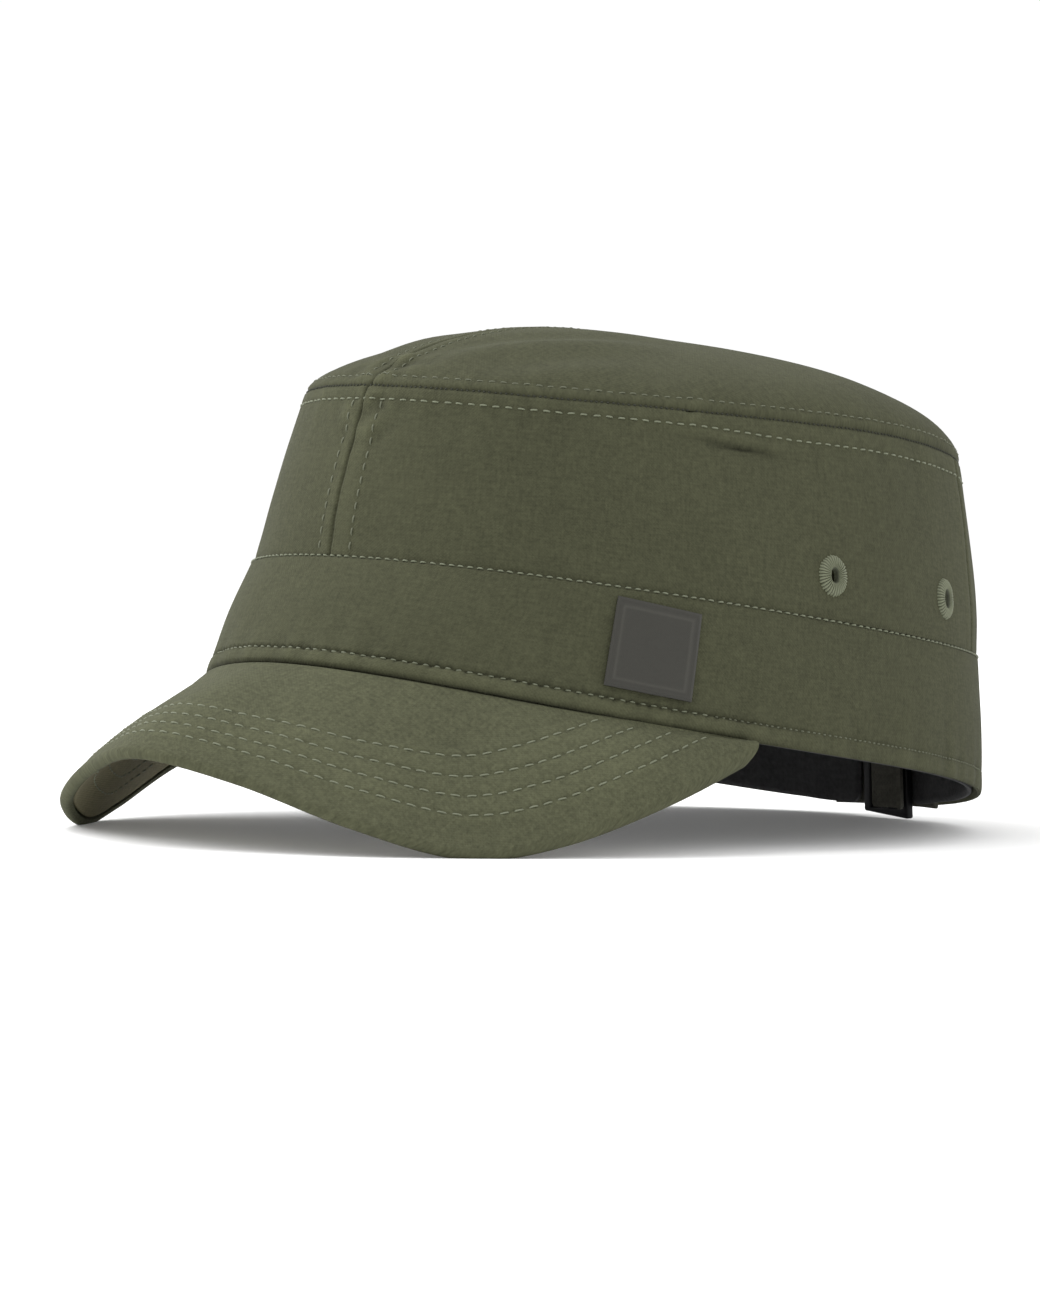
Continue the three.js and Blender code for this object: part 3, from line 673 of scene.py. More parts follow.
def hem_profile(turn, climb):
    """The hem bulges over the peak like piping, and its stitches nip it all the way round."""
    front = over_peak(turn)
    scallop = 0.45 * front * (np.abs(np.sin(pi * arc(turn) / HEM_PITCH)) - 0.6)
    puff = HEM_PUFF - PUFF_CALMER * (1 - slope(turn, -15, 25))
    share = np.clip(climb / (HEM_HEIGHT + scallop), 0, 1)
    bulge = (HEM_FLAT + (puff - HEM_FLAT) * front) * np.sin(pi * share) ** 0.6
    nip = (0.25 + 0.35 * front) * bell(climb - HEM_HEIGHT - scallop - 0.2, 0.4)
    return bulge - (0.15 + 0.5 * front) * bell(climb, 0.5) - nip


def band_relief(turn, climb):
    from_fold = climb - BAND_HEIGHT
    fold = -0.5 * bell(from_fold, 0.3) - 0.3 * bell(from_fold + BAND_TOP_ROW, 0.35)
    hem = hem_profile(turn, climb) + gathers(31, arc(turn), np.maximum(climb - HEM_HEIGHT, 0), 6, 0.14)
    return fold + hem


def band_unevenness(turn, climb):
    middle = np.sin(pi * np.clip(climb / BAND_HEIGHT, 0, 1))
    return middle * (0.3 * uneven(37, arc(turn), climb * 1.4, 48) + 0.1 * uneven(41, arc(turn), climb, 20))


def slot_edge(turn):
    """Height of the arch's edge, and whether a turn is inside the slot."""
    along = np.sin(np.radians(turn - BACK_TURN)) * BACK_RADIUS
    radius = SLOT_WIDTH / 2
    inside = (np.abs(along) < radius * 1.0001) & (np.cos(np.radians(turn - BACK_TURN)) > 0)
    rise = np.sqrt(np.maximum(radius * radius - along * along, 0))
    return np.where(inside, SLOT_HEIGHT - radius + rise, SLOT_HEIGHT - radius), inside


print("the hem bulges", round(float(hem_profile(0, HEM_HEIGHT / 2)), 2), "mm over the peak")

# %% The band with its slot
SLOT_ASIDE = turns_aside(SLOT_WIDTH / 2)
SLOT_SPRING = SLOT_HEIGHT - SLOT_WIDTH / 2
slot_sides = [BACK_TURN + SLOT_ASIDE - 360, BACK_TURN - SLOT_ASIDE]
outside_turns = crowded(*slot_sides, 0.4, 0.25, slot_sides, 3)
slot_angles = np.linspace(-pi / 2, pi / 2, 25)[1:-1]
slot_turns = BACK_TURN + turns_aside(SLOT_WIDTH / 2 * np.sin(slot_angles))
band_turns = np.concatenate([outside_turns, slot_turns])
low_climbs = crowded(0, SLOT_SPRING, 1.2, 0.25, [0, HEM_HEIGHT], 3)
high_climbs = crowded(SLOT_SPRING, BAND_HEIGHT, 1.2, 0.3, [BAND_HEIGHT - 1], 4)[1:]
band_climbs = np.concatenate([low_climbs, high_climbs])
turn, climb = np.meshgrid(band_turns, band_climbs, indexing="ij")
edge, in_slot = slot_edge(turn)
lifted = edge + (BAND_HEIGHT - edge) * (climb - SLOT_SPRING) / (BAND_HEIGHT - SLOT_SPRING)
climb = np.where(in_slot & (climb > SLOT_SPRING - 0.001), lifted, climb)

columns = len(band_turns)
is_slot_column = np.zeros(columns, bool)
is_slot_column[len(outside_turns) - 1:] = True
kept = np.ones((columns, len(band_climbs) - 1), bool)
kept[is_slot_column, :len(low_climbs) - 1] = False
relief = band_relief(turn, climb)
moved = relief + band_unevenness(turn, climb)
inner_out = -BAND_CLOTH + (1.1 - 0.3 * over_peak(turn)) * bell(climb, 0.7)
band = cloth_shell("band_cloth", wall_point(turn, climb, moved), wall_point(turn, climb, inner_out),
                   np.stack([arc(turn), climb], -1), relief, closed=True, kept=kept)
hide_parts("band")

# %% [markdown]
# The peak is a stiff board between two layers of cloth. The upper cloth is wrapped round the
# board's edge, and four rows of stitches run along it. Straight lines fan out from the head
# to a curved edge, so a fold of card would take this shape, and the real board is bent so too.

# %% The peak's outline
PEAK_WIDTH = HEAD_WIDTH - 6
PEAK_AHEAD = 117
PEAK_DROP = 32.8
PEAK_SPAN = 74.5
PEAK_CAMBER = 2.2
PEAK_RAISE = 1.8
PEAK_COVER = 1.7
PEAK_LINING = 1
PEAK_LIP = 2.4
PEAK_TUCK = 2
PEAK_TUCK_RISE = 0.8
PEAK_THICK = PEAK_COVER + SEAM_GAP + PEAK_LINING
PEAK_END_SHARE = 0.98
PEAK_EDGE = [
    dict(side=0, ahead=1, down=0.545),
    dict(side=0.295, ahead=0.93, down=0.66),
    dict(side=0.575, ahead=0.815, down=0.875),
    dict(side=0.77, ahead=0.645, down=1),
    dict(side=0.9, ahead=0.48, down=0.85),
    dict(side=0.995, ahead=0.265, down=0.49),
    dict(side=1, ahead=0, down=0.04),
]
PEAK_CORNER = face_point(PEAK_SPAN, 0)


def edge_knot(row, side):
    return np.array([
        side * row["side"] * PEAK_WIDTH / 2,
        PEAK_CORNER[1] - row["ahead"] * PEAK_AHEAD,
        PEAK_CORNER[2] - row["down"] * PEAK_DROP,
    ])


knots = [edge_knot(row, -1) for row in PEAK_EDGE[:0:-1]] + [edge_knot(row, 1) for row in PEAK_EDGE]
knots = np.array([2 * knots[0] - knots[1]] + knots + [2 * knots[-1] - knots[-2]])


def peak_edge(place):
    """The lip's underside, as a smooth curve through the knots, at a place from -1 to 1."""
    spans = len(knots) - 3
    at = np.clip((np.asarray(place) + 1) / 2, -0.05, 1.05) * spans
    first = np.clip(np.floor(at).astype(int), 0, spans - 1)
    t = (at - first)[..., None]
    a, b, c, d = (knots[first + step] for step in range(4))
    return b + t * ((c - a) / 2 + t * (a - 2.5 * b + 2 * c - d / 2 + t * (1.5 * (b - c) + (d - a) / 2)))


def sewn_turn(place):
    """Where a line of the peak meets the rim."""
    return PEAK_SPAN * (0.6 * place + 0.4 * place ** 3)


def peak_face(place, share):
    """The flat of the peak, on straight lines from its edge at share 0 to the head at 1."""
    place, share = np.broadcast_arrays(np.asarray(place, float), np.asarray(share, float))
    edge_place = peak_edge(place)
    sewn = face_point(sewn_turn(place), 0)
    sewn[..., 2] -= SEAM_GAP / 2
    return edge_place + (sewn - edge_place) * share[..., None]


def peak_out(place, share):
    return way_out(peak_face, place, 0.9 * share, 0.02)


def peak_point(place, share, depth):
    """A point of the peak under its face; past a share of 1 it is tucked into the head."""
    level = np.minimum(share, 1)
    camber = PEAK_CAMBER * 4 * level * (1 - level) + PEAK_RAISE * (1 - level)
    out = peak_out(place, level)
    point = peak_face(place, level) + out * (camber - depth)[..., None]
    turn = sewn_turn(place)
    tuck = wall_point(turn, 0, -PEAK_TUCK) - face_point(turn, 0)
    tuck[..., 2] += PEAK_TUCK_RISE
    return point + tuck * np.clip((share - 1) * 5, 0, 1)[..., None]


def peak_width(place):
    """Length of the line from the edge to the head, and how squarely it meets the edge."""
    ruling = peak_face(place, 1) - peak_face(place, 0)
    tangent = peak_edge(place + 0.01) - peak_edge(place - 0.01)
    width = np.linalg.norm(ruling, axis=-1)
    square = np.linalg.norm(np.cross(tangent, ruling), axis=-1) / np.linalg.norm(tangent, axis=-1) / width
    return width, np.clip(square, 0.2, 1)


print("the peak is", peak_width(np.array([0.0]))[0].round(1), "mm deep in the middle")

# %% [markdown]
# The weave has to run over the peak without being stretched. Its straight lines make that easy:
# each narrow strip between two lines is laid flat beside the one before, as a pattern cutter
# would trace it, and the flat shape gives the lengths along the cloth.

# %% The peak laid flat
def third_corner(a, b, from_a, from_b):
    """The corner of a flat triangle at given distances from two others, on their right."""
    line = b - a
    length = np.linalg.norm(line)
    along = (length ** 2 + from_a ** 2 - from_b ** 2) / (2 * length)
    aside = np.sqrt(max(from_a ** 2 - along ** 2, 0))
    return a + line / length * along + np.array([line[1], -line[0]]) / length * aside


def flattened(places):
    """The edge's end and the head's end of each line, in the flat."""
    edge, sewn = peak_face(places, 0), peak_face(places, 1)
    low = [np.zeros(2)]
    high = [np.array([0, np.linalg.norm(sewn[0] - edge[0])])]
    for number in range(1, len(places)):
        to_low = np.linalg.norm(edge[number] - edge[number - 1])
        to_high = np.linalg.norm(edge[number] - sewn[number - 1])
        low.append(third_corner(low[-1], high[-1], to_low, to_high))
        from_low = np.linalg.norm(sewn[number] - edge[number])
        from_high = np.linalg.norm(sewn[number] - sewn[number - 1])
        high.append(third_corner(low[-1], high[-1], from_low, from_high))
    low, high = np.array(low), np.array(high)
    middle = len(places) // 2
    upright = (high - low)[middle] / np.linalg.norm((high - low)[middle])
    turned = np.array([[upright[1], upright[0]], [-upright[0], upright[1]]])
    return (low - low[middle]) @ turned, (high - low[middle]) @ turned


def cloth_lengths(places, share):
    """Lengths along the peak's cloth, for a grid of places and shares."""
    low, high = flattened(places)
    return low[:, None, :] + (high - low)[:, None, :] * share[..., None]


flat_edge = flattened(np.linspace(-0.9, 0.9, 91))[0]
print("the flat peak is", np.ptp(flat_edge[:, 0]).round(1), "mm wide")

# %% [markdown]
# The rows of stitches pull the cloth down onto the board, and it swells a little between them.
# The rows follow the edge at fixed distances, a little closer to it in front.

# %% Relief of the peak
PEAK_ROWS = [9.8, 14.8, 20, 25.6]
ROWS_CLOSER_IN_FRONT = 0.25


def peak_shares(place, distance, onwards):
    """The share of a line at a distance from the edge, then onwards to the head."""
    width, square = peak_width(place)
    lip = np.minimum(distance / (square * width), 0.5)
    return lip + (1 - lip) * onwards


def peak_distance(place, share):
    width, square = peak_width(place)
    return share * width * square


def row_spread(place):
    """The rows run closer to the edge and to each other in front than at the sides."""
    return 1 - ROWS_CLOSER_IN_FRONT * (1 - slope(np.abs(place), 0.1, 0.5))


def quilting(place, share):
    """Cloth swells a little between rows of stitches."""
    distance = peak_distance(place, share) / row_spread(place)
    relief = 0.15 * slope(distance, PEAK_ROWS[0] - 3, PEAK_ROWS[0] - 0.5)
    relief = relief * (1 - slope(distance, PEAK_ROWS[-1] + 0.5, PEAK_ROWS[-1] + 3))
    for row in PEAK_ROWS:
        relief = relief - 0.25 * bell(distance - row, 0.5)
    return relief


def peak_relief(place, share):
    distance = peak_distance(place, share) / row_spread(place)
    along = place * 200
    ripples = 0
    for number, row in enumerate(PEAK_ROWS):
        ripples = ripples + gathers(43 + number, along, (distance - row) * 3, 7, 0.05)
    waves = 0.16 * uneven(47, along, distance, 40) * slope(distance, 2, 12)
    return quilting(place, share) + ripples + waves


def near_head(share):
    """0 over the peak and 1 where it is sewn to the head, where all relief ends."""
    return slope(share, 0.93, 1)


print("rows on the peak:", len(PEAK_ROWS))

# %% [markdown]
# The cover is one grid from the edge to the head. Its first rows curl round the edge in a small
# arc, its corners are cut round, and its last rows are tucked under the band. Where it would
# sink into the table it is pressed flat.

# %% The peak's cover
PEAK_NOSE = 1.45
PEAK_REACH = 0.973
CORNER_ROUND = 0.03
CORNER_REACH = 0.65
HEAD_DIP = 0.45

places = crowded(-PEAK_REACH, PEAK_REACH, 0.0075, 0.004, [-PEAK_REACH, PEAK_REACH], 0.06)
nose = PEAK_NOSE * (1 - np.cos(np.linspace(0, pi / 2, 8)))
near = np.concatenate([nose, np.linspace(PEAK_NOSE, PEAK_LIP, 3)[1:]])
onwards = np.concatenate([np.zeros(len(near)), np.linspace(0.004, 1, 96), [1.1, 1.2]])
distances = np.concatenate([near, np.full(len(onwards) - len(near), PEAK_LIP)])
end_share = peak_shares(np.full(distances.shape, PEAK_REACH), distances, onwards)
short_of_end = CORNER_ROUND * (1 - np.sqrt(1 - (1 - np.clip(end_share / CORNER_REACH, 0, 1)) ** 2))
place = places[:, None] * (1 - short_of_end[None, :])
distance = np.broadcast_to(distances, place.shape)
share = peak_shares(place, distance, onwards[None, :])
sunk = PEAK_NOSE - np.sqrt(np.maximum(PEAK_NOSE ** 2 - (PEAK_NOSE - np.minimum(distance, PEAK_NOSE)) ** 2, 0))
sunk = np.where(onwards[None, :] > 0, 0, sunk)
head_dip = HEAD_DIP * (1 - 1.6 * slope(np.abs(place), 0.7, 0.9))
relief = peak_relief(place, share) * (1 - near_head(share)) - head_dip * slope(share, 0.985, 1)
underside = np.where(onwards[None, :] > 0, PEAK_COVER, PEAK_THICK - sunk)
outer = laid(peak_point(place, share, sunk - relief))
inner = laid(peak_point(place, share, underside))
outer[..., 2] = np.maximum(outer[..., 2], 0.02)
inner[..., 2] = np.maximum(inner[..., 2], 0)
lengths = cloth_lengths(places, share)
peak = cloth_shell("peak_cloth", outer, inner, lengths, relief, lying=True)
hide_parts("peak")

# %% The peak's lining
lining_places = np.linspace(-PEAK_REACH * 0.97, PEAK_REACH * 0.97, 170)
lining_onwards = crowded(0.004, 0.97, 0.022, 0.008, [0.004], 0.1)
place, onwards = np.meshgrid(lining_places, lining_onwards, indexing="ij")
share = peak_shares(place, PEAK_LIP + SEAM_GAP, onwards)
under_relief = quilting(place, share) * (1 - near_head(share))
rolled = 0.45 * bell(peak_distance(place, share) - PEAK_LIP - SEAM_GAP, 0.5)
upper = laid(peak_point(place, share, PEAK_COVER + SEAM_GAP))
lower = laid(peak_point(place, share, PEAK_THICK + 0.6 * under_relief - rolled))
upper[..., 2] = np.maximum(upper[..., 2], PEAK_LINING / 2)
lower[..., 2] = np.maximum(lower[..., 2], 0.01)
lengths = cloth_lengths(lining_places, share)
peak_lining = cloth_shell("peak_lining_cloth", upper, lower, lengths, under_relief, lying=True)
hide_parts("peak_lining")

# %% [markdown]
# The sweatband is a soft black band inside the rim. It parts at the back, and it swells over
# the tucked ends of the strap. Its free upper edge is turned over and sewn. It is a shell like
# the band, which follows the wall at a depth and is thinner towards its edges.

# %% The sweatband
SWEATBAND_CLOTH = 1.4
SWEATBAND_HEIGHT = 28
SWEATBAND_PART = 21
SWEATBAND_CORNER = 3
STRAP_CLOTH = 1
STRAP_TUCK = 8
PART_ASIDE = turns_aside(SWEATBAND_PART / 2)
TUCK_ASIDE = turns_aside(SWEATBAND_PART / 2 + STRAP_TUCK)
SWELL_ASIDE = TUCK_ASIDE + 9
MM_PER_DEGREE = 1.44


def sweatband_depth(aside):
    """How far inside the wall the sweatband lies; it swells over the tucked strap."""
    over_strap = 1 - slope(np.minimum(aside, 360 - aside), TUCK_ASIDE + 3, SWELL_ASIDE)
    return STRAP_DEPTH + over_strap * (STRAP_CLOTH + 3 * SEAM_GAP)


asides = crowded(PART_ASIDE, 360 - PART_ASIDE, 1.3, 0.4, [PART_ASIDE, 360 - PART_ASIDE], 8)
climbs = crowded(SEAM_GAP, SWEATBAND_HEIGHT, 1.6, 0.3, [SEAM_GAP, SWEATBAND_HEIGHT], 4)
aside, climb = np.meshgrid(asides, climbs, indexing="ij")
turn = BACK_TURN - 360 + aside
from_end = np.minimum(aside - PART_ASIDE, 360 - PART_ASIDE - aside) * MM_PER_DEGREE
rounding = 1 - slope(from_end, 0, 1.2)
from_corner = np.clip(1 - from_end / SWEATBAND_CORNER, 0, 1)
climb = climb + SWEATBAND_CORNER * (1 - np.sqrt(1 - from_corner ** 2)) * (1 - climb / SWEATBAND_HEIGHT)
depth = sweatband_depth(aside)
from_head = SWEATBAND_HEIGHT - climb
thick = SWEATBAND_CLOTH * (1 - 0.55 * bell(from_head, 0.45) - 0.45 * bell(climb - SEAM_GAP, 0.4))
thick = thick * (1 - 0.4 * rounding)
hem = 0.3 * (1 - slope(from_head, 4.5, 5.5)) - 0.25 * bell(from_head - 5, 0.5)
soft = 0.2 * uneven(53, arc(turn), climb, 22) * np.sin(pi * climb / SWEATBAND_HEIGHT)
outer = wall_point(turn, climb, -depth - 0.1 * SWEATBAND_CLOTH * rounding)
inner = wall_point(turn, climb, -depth - thick - np.clip(hem + soft, -0.4, 0.45))
lengths = np.stack([arc(turn), climb], -1)
sweatband = cloth_shell("sweatband_cloth", outer, inner, lengths, np.zeros(hem.shape))
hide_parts("sweatband")

# %% [markdown]
# The strap is a woven tape. It crosses the slot, goes through both windows of the slider and
# over its middle bar, and its doubled end curls away. A tape is easiest to draw as a line seen
# from above, which is given a thickness and then a height.

# %% Where the strap runs
PART_HALF = SWEATBAND_PART / 2
SLIDER_WIDTH = 16
SLIDER_BAR = 2.6
SLIDER_MIDDLE_BAR = 3.2
SLIDER_THICK = 2.2
SLIDER_ASIDE = 1
STRAP_FREE_END = 11
WINDOW = (SLIDER_WIDTH - SLIDER_MIDDLE_BAR) / 2 - SLIDER_BAR
WINDOW_MIDDLE = (SLIDER_MIDDLE_BAR + WINDOW) / 2


def wall_sag(along):
    """How far the wall has curved towards the head, at a length along the back."""
    turn = BACK_TURN - turns_aside(along)
    spots = [wall_point(turn, share * STRAP_HEIGHT, -STRAP_DEPTH) - back_foot for share in (0, 0.5, 1)]
    return max((spot @ BACK_TURNING)[2] for spot in spots) + SEAM_GAP


STRAP_LINE = max(wall_sag(PART_HALF), wall_sag(-PART_HALF)) + STRAP_CLOTH / 2
OVER_BAR = STRAP_LINE + STRAP_CLOTH + 2 * SEAM_GAP + SLIDER_THICK
FREE_LINE = OVER_BAR + STRAP_CLOTH + SEAM_GAP


def tucked(along):
    """A point of the strap where it lies between the band and the sweatband."""
    return (along, max(wall_sag(along) + STRAP_CLOTH / 2, STRAP_LINE))


strap_route = [
    tucked(-PART_HALF - STRAP_TUCK), tucked(-PART_HALF - STRAP_TUCK / 2), (-PART_HALF, STRAP_LINE),
    (SLIDER_ASIDE - WINDOW_MIDDLE, STRAP_LINE), (SLIDER_ASIDE - WINDOW_MIDDLE, OVER_BAR),
    (SLIDER_ASIDE + WINDOW_MIDDLE, OVER_BAR), (SLIDER_ASIDE + WINDOW_MIDDLE, STRAP_LINE),
    (PART_HALF, STRAP_LINE), tucked(PART_HALF + STRAP_TUCK / 2), tucked(PART_HALF + STRAP_TUCK),
]
strap_curl = [
    (SLIDER_ASIDE - SLIDER_MIDDLE_BAR / 2, FREE_LINE), (SLIDER_ASIDE + SLIDER_WIDTH / 2, FREE_LINE),
    (SLIDER_ASIDE + STRAP_FREE_END - STRAP_CLOTH, FREE_LINE + STRAP_CLOTH),
    (SLIDER_ASIDE + STRAP_FREE_END, FREE_LINE + 3 * STRAP_CLOTH),
]


print("the strap crosses the slot", round(float(STRAP_LINE), 1), "mm inside the back wall")


# %% The strap and its doubled end
def rounded_route(route, radius, spacing=0.45):
    """The route with its corners cut round, as evenly spaced points."""
    route = np.array(route, float)
    line = [route[0]]
    for before, corner, after in zip(route[:-2], route[1:-1], route[2:]):
        reach = min(radius, np.linalg.norm(corner - before) / 2, np.linalg.norm(after - corner) / 2)
        start = corner + (before - corner) / np.linalg.norm(before - corner) * reach
        end = corner + (after - corner) / np.linalg.norm(after - corner) * reach
        for share in np.linspace(0, 1, 7):
            line.append((1 - share) ** 2 * start + 2 * share * (1 - share) * corner + share ** 2 * end)
    line = np.array(line + [route[-1]])
    lengths = run_lengths(line)
    even = np.linspace(0, lengths[-1], max(int(lengths[-1] / spacing), 8))
    return np.stack([np.interp(even, lengths, line[:, axis]) for axis in (0, 1)], 1), even


def tape(name, route, radius=0.8):
    """A woven tape along a route, thinner at its two selvedges."""
    line, lengths = rounded_route(route, radius)
    heading = np.gradient(line, axis=0)
    heading = heading / np.linalg.norm(heading, axis=1, keepdims=True)
    across = np.stack([-heading[:, 1], heading[:, 0]], 1)
    heights = crowded(0, STRAP_HEIGHT, 1.0, 0.25, [0, STRAP_HEIGHT], 2)
    selvedge = 1 - 0.45 * (bell(heights, 0.35) + bell(heights - STRAP_HEIGHT, 0.35))
    layers = []
    for side in (-0.5, 0.5):
        place = line[:, None, :] + side * STRAP_CLOTH * across[:, None, :] * selvedge[None, :, None]
        up = np.broadcast_to(heights[None, :] + SEAM_GAP, place.shape[:2])
        layers.append(stood_at_back(np.stack([place[..., 0], up, place[..., 1]], -1)))
    grid = np.stack(np.meshgrid(lengths, heights, indexing="ij"), -1)
    return cloth_shell(name, layers[1], layers[0], grid, np.zeros(grid.shape[:2]))


back_strap = tape("back_strap_tape", strap_route)
strap_free_end = tape("strap_free_end_tape", strap_curl, 2)
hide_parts("back_strap")
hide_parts("strap_free_end")

# %% [markdown]
# The slider is a small moulded frame with a middle bar. A mould leaves every edge round, so
# the frame is built from square bars joined in one outline, and a bevel rounds its edges. Its
# foot slants a little, and the cap rests on its lowest corner.

# %% The slider
SLIDER_FOOT = -SLIDER_BAR
SLIDER_HEAD = STRAP_HEIGHT + 2 * SEAM_GAP + SLIDER_BAR
SLIDER_SKEW = 0.09
SLIDER_FACE = STRAP_LINE + STRAP_CLOTH / 2 + SEAM_GAP

half = SLIDER_WIDTH / 2
bars = [-half, -half + SLIDER_BAR, -SLIDER_MIDDLE_BAR / 2, SLIDER_MIDDLE_BAR / 2, half - SLIDER_BAR, half]
levels = [SLIDER_FOOT, 0, SLIDER_HEAD - SLIDER_BAR, SLIDER_HEAD]
x, y = np.meshgrid(SLIDER_ASIDE + np.array(bars), levels, indexing="ij")
y[:, 0] += SLIDER_SKEW * (SLIDER_ASIDE + half - x[:, 0])
frame_cells = np.ones((5, 3), bool)
frame_cells[1, 1] = False
frame_cells[3, 1] = False
far = np.stack([x, y, np.full(x.shape, SLIDER_FACE + SLIDER_THICK)], -1)
near_face = np.stack([x, y, np.full(x.shape, SLIDER_FACE)], -1)
slider = cloth_shell("strap_slider_frame", stood_at_back(far), stood_at_back(near_face),
                     far[..., :2], np.zeros(x.shape), kept=frame_cells, sharp=180)
rounding = slider.modifiers.new("moulded_edges", "BEVEL")
rounding.width = 0.55 * MM
rounding.segments = 4
rounding.limit_method = "ANGLE"
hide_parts("strap_slider")

# %% [markdown]
# The label is a small, plain square of dark satin, sewn flat near the band's hem. A thin woven
# frame runs a little inside its edge. Its grid follows the wall, so that it bends with the band,
# and leans a little, as sewn labels often do.

# %% The label
LABEL_SIZE = 19.8
LABEL_CLOTH = 0.8
LABEL_TURN = 56.2
LABEL_CLIMB = 6.1
LABEL_SLANT = 0.9
FRAME_INSET = 1.9
label_middle = LABEL_CLIMB + LABEL_SIZE / 2
half_turn_aside = face_point(np.array([LABEL_TURN - 0.5, LABEL_TURN + 0.5]), label_middle)
per_turn = np.linalg.norm(half_turn_aside[1] - half_turn_aside[0])
half = LABEL_SIZE / 2
across = crowded(-half, half, 0.5, 0.12, [-half, half], 1.5)
height = crowded(0, LABEL_SIZE, 0.5, 0.12, [0, LABEL_SIZE], 1.5)
aside, climb = np.meshgrid(across, height, indexing="ij")
to_left = 0.5 - aside / LABEL_SIZE
slant = (LABEL_SLANT * climb / LABEL_SIZE + 0.4) * to_left
turn = LABEL_TURN + (aside - 0.75 * climb / LABEL_SIZE * to_left) / per_turn
edge_gap = np.minimum(np.minimum(half - np.abs(aside), climb), LABEL_SIZE - climb)
inset = np.abs(edge_gap - FRAME_INSET)
loose = 0.5 * (1 - climb / LABEL_SIZE) ** 2 * (1 + 0.5 * uneven(61, aside, climb, 16))
cushion = 0.25 * slope(edge_gap, 0, 0.7) - 0.12 * bell(edge_gap - 1.1, 0.3)
lift = SEAM_GAP + loose + 0.12
outer = wall_point(turn, LABEL_CLIMB + climb + slant, lift + LABEL_CLOTH * 0.55 + cushion)
inner = wall_point(turn, LABEL_CLIMB + climb + slant, lift)
# Here the relief attribute holds the label's woven frame line, which is its own colour.
label = cloth_shell("label_satin", outer, inner, np.stack([aside, climb], -1), bell(inset, 0.28))
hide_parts("label")

# %% [markdown]
# An eyelet is a hole bound with thread, so it is a low ring with a ridge for every turn of the
# thread. A torus with a bump would have too smooth an outline, so each ridge is modelled.

# %% The eyelets
EYELET_WIDTH = 9
EYELET_HOLE = 2.2
EYELET_RISE = 0.9
THREAD_TURNS = 34
HOLE_SPREADS = dict(front=0.8, rear=1.2)


def eyelet(name, turn, spread):
    """A bound ring that stands a little taller than it is wide; spread sets its hole's width."""
    out = wall_out(turn, EYELET_CLIMB)
    foot = wall_point(turn, EYELET_CLIMB, -crown_depth(EYELET_CLIMB) + wall_unevenness(turn, EYELET_CLIMB))
    east = np.cross([0, 0, 1], out)
    east = east / np.linalg.norm(east)
    north = np.cross(out, east)
    angles = np.linspace(0, 2 * pi, THREAD_TURNS * 6 + 1)[:-1]
    profile = np.linspace(0, 1, 15)
    angle, share = np.meshgrid(angles, profile, indexing="ij")
    ridge = np.abs(np.sin(angle * THREAD_TURNS / 2))
    wander = 0.16 * uneven(71, angle * 30, 0, 9)
    tall = np.sin(angle) ** 2
    inner_radius = EYELET_HOLE / 2 * (spread + 0.6 * tall)
    outer_radius = (EYELET_WIDTH / 2 - 0.25) * (0.95 + 0.14 * tall)
    outline = outer_radius + 0.3 * ridge * slope(share, 0.5, 1) + wander * slope(share, 0.6, 1)
    radius = inner_radius + (outline - inner_radius) * share
    height = (EYELET_RISE * np.sin(pi * np.clip(share, 0.02, 1) ** 0.75) ** 0.6 + 0.1) * (0.75 + 0.32 * ridge)
    height = height - 0.5 * slope(share, 0.85, 1)
    top = foot + radius[..., None] * (np.cos(angle)[..., None] * east + np.sin(angle)[..., None] * north)
    low = top - out * 0.7
    lengths = np.stack([angle * 3, share * 4], -1)
    raised = top + height[..., None] * out
    # The colour is painted shade between the thread's turns and on the hole's inner lip, with a painted
    # highlight on the turns.
    lip = 1 - slope(share, 0.02, 0.14)
    shade = ridge - 0.5 - lip
    return cloth_shell(name, raised[:, ::-1], low[:, ::-1], lengths[:, ::-1], shade[:, ::-1], closed=True)


eyelets = []
for place_name, turn in EYELET_TURNS.items():
    for side_name, side in (("left", 1), ("right", -1)):
        ring = eyelet(f"eyelet_{side_name}_{place_name}_thread", side * turn, HOLE_SPREADS[place_name])
        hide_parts(f"eyelet_{side_name}_{place_name}")
        eyelets.append(ring)

# %% [markdown]
# Topstitching shows as short dashes in every groove, paler than the cloth. A dashed texture
# would look flat, so each stitch is a bit of thread that dips into the cloth at both ends. One
# function lays stitches along any line, given the way out of the cloth.
# The rows differ in their pitch, in how long each stitch is and in how thick its thread is.

# %% Stitches along a line
THREAD_RADIUS = 0.22
STITCH_STATIONS = np.linspace(-1, 1, 6)
THREAD_SIDES = 6
CROWN_STITCH = dict(pitch=2.8, length=2)
FRONT_STITCH = dict(pitch=3, length=2.2)
CHAIN_STITCH = dict(pitch=1.25, length=0.75, radius=0.24)
HEM_STITCH = dict(pitch=HEM_PITCH, length=1.6)
RIM_STITCH = dict(pitch=1.6, length=0.9, radius=0.19)
FOLD_STITCH = dict(pitch=2.2, length=1.5, radius=0.2)
TOP_STITCH = dict(pitch=2.65, length=1.8, radius=0.18)
PEAK_STITCH = dict(pitch=3.45, length=2.7)


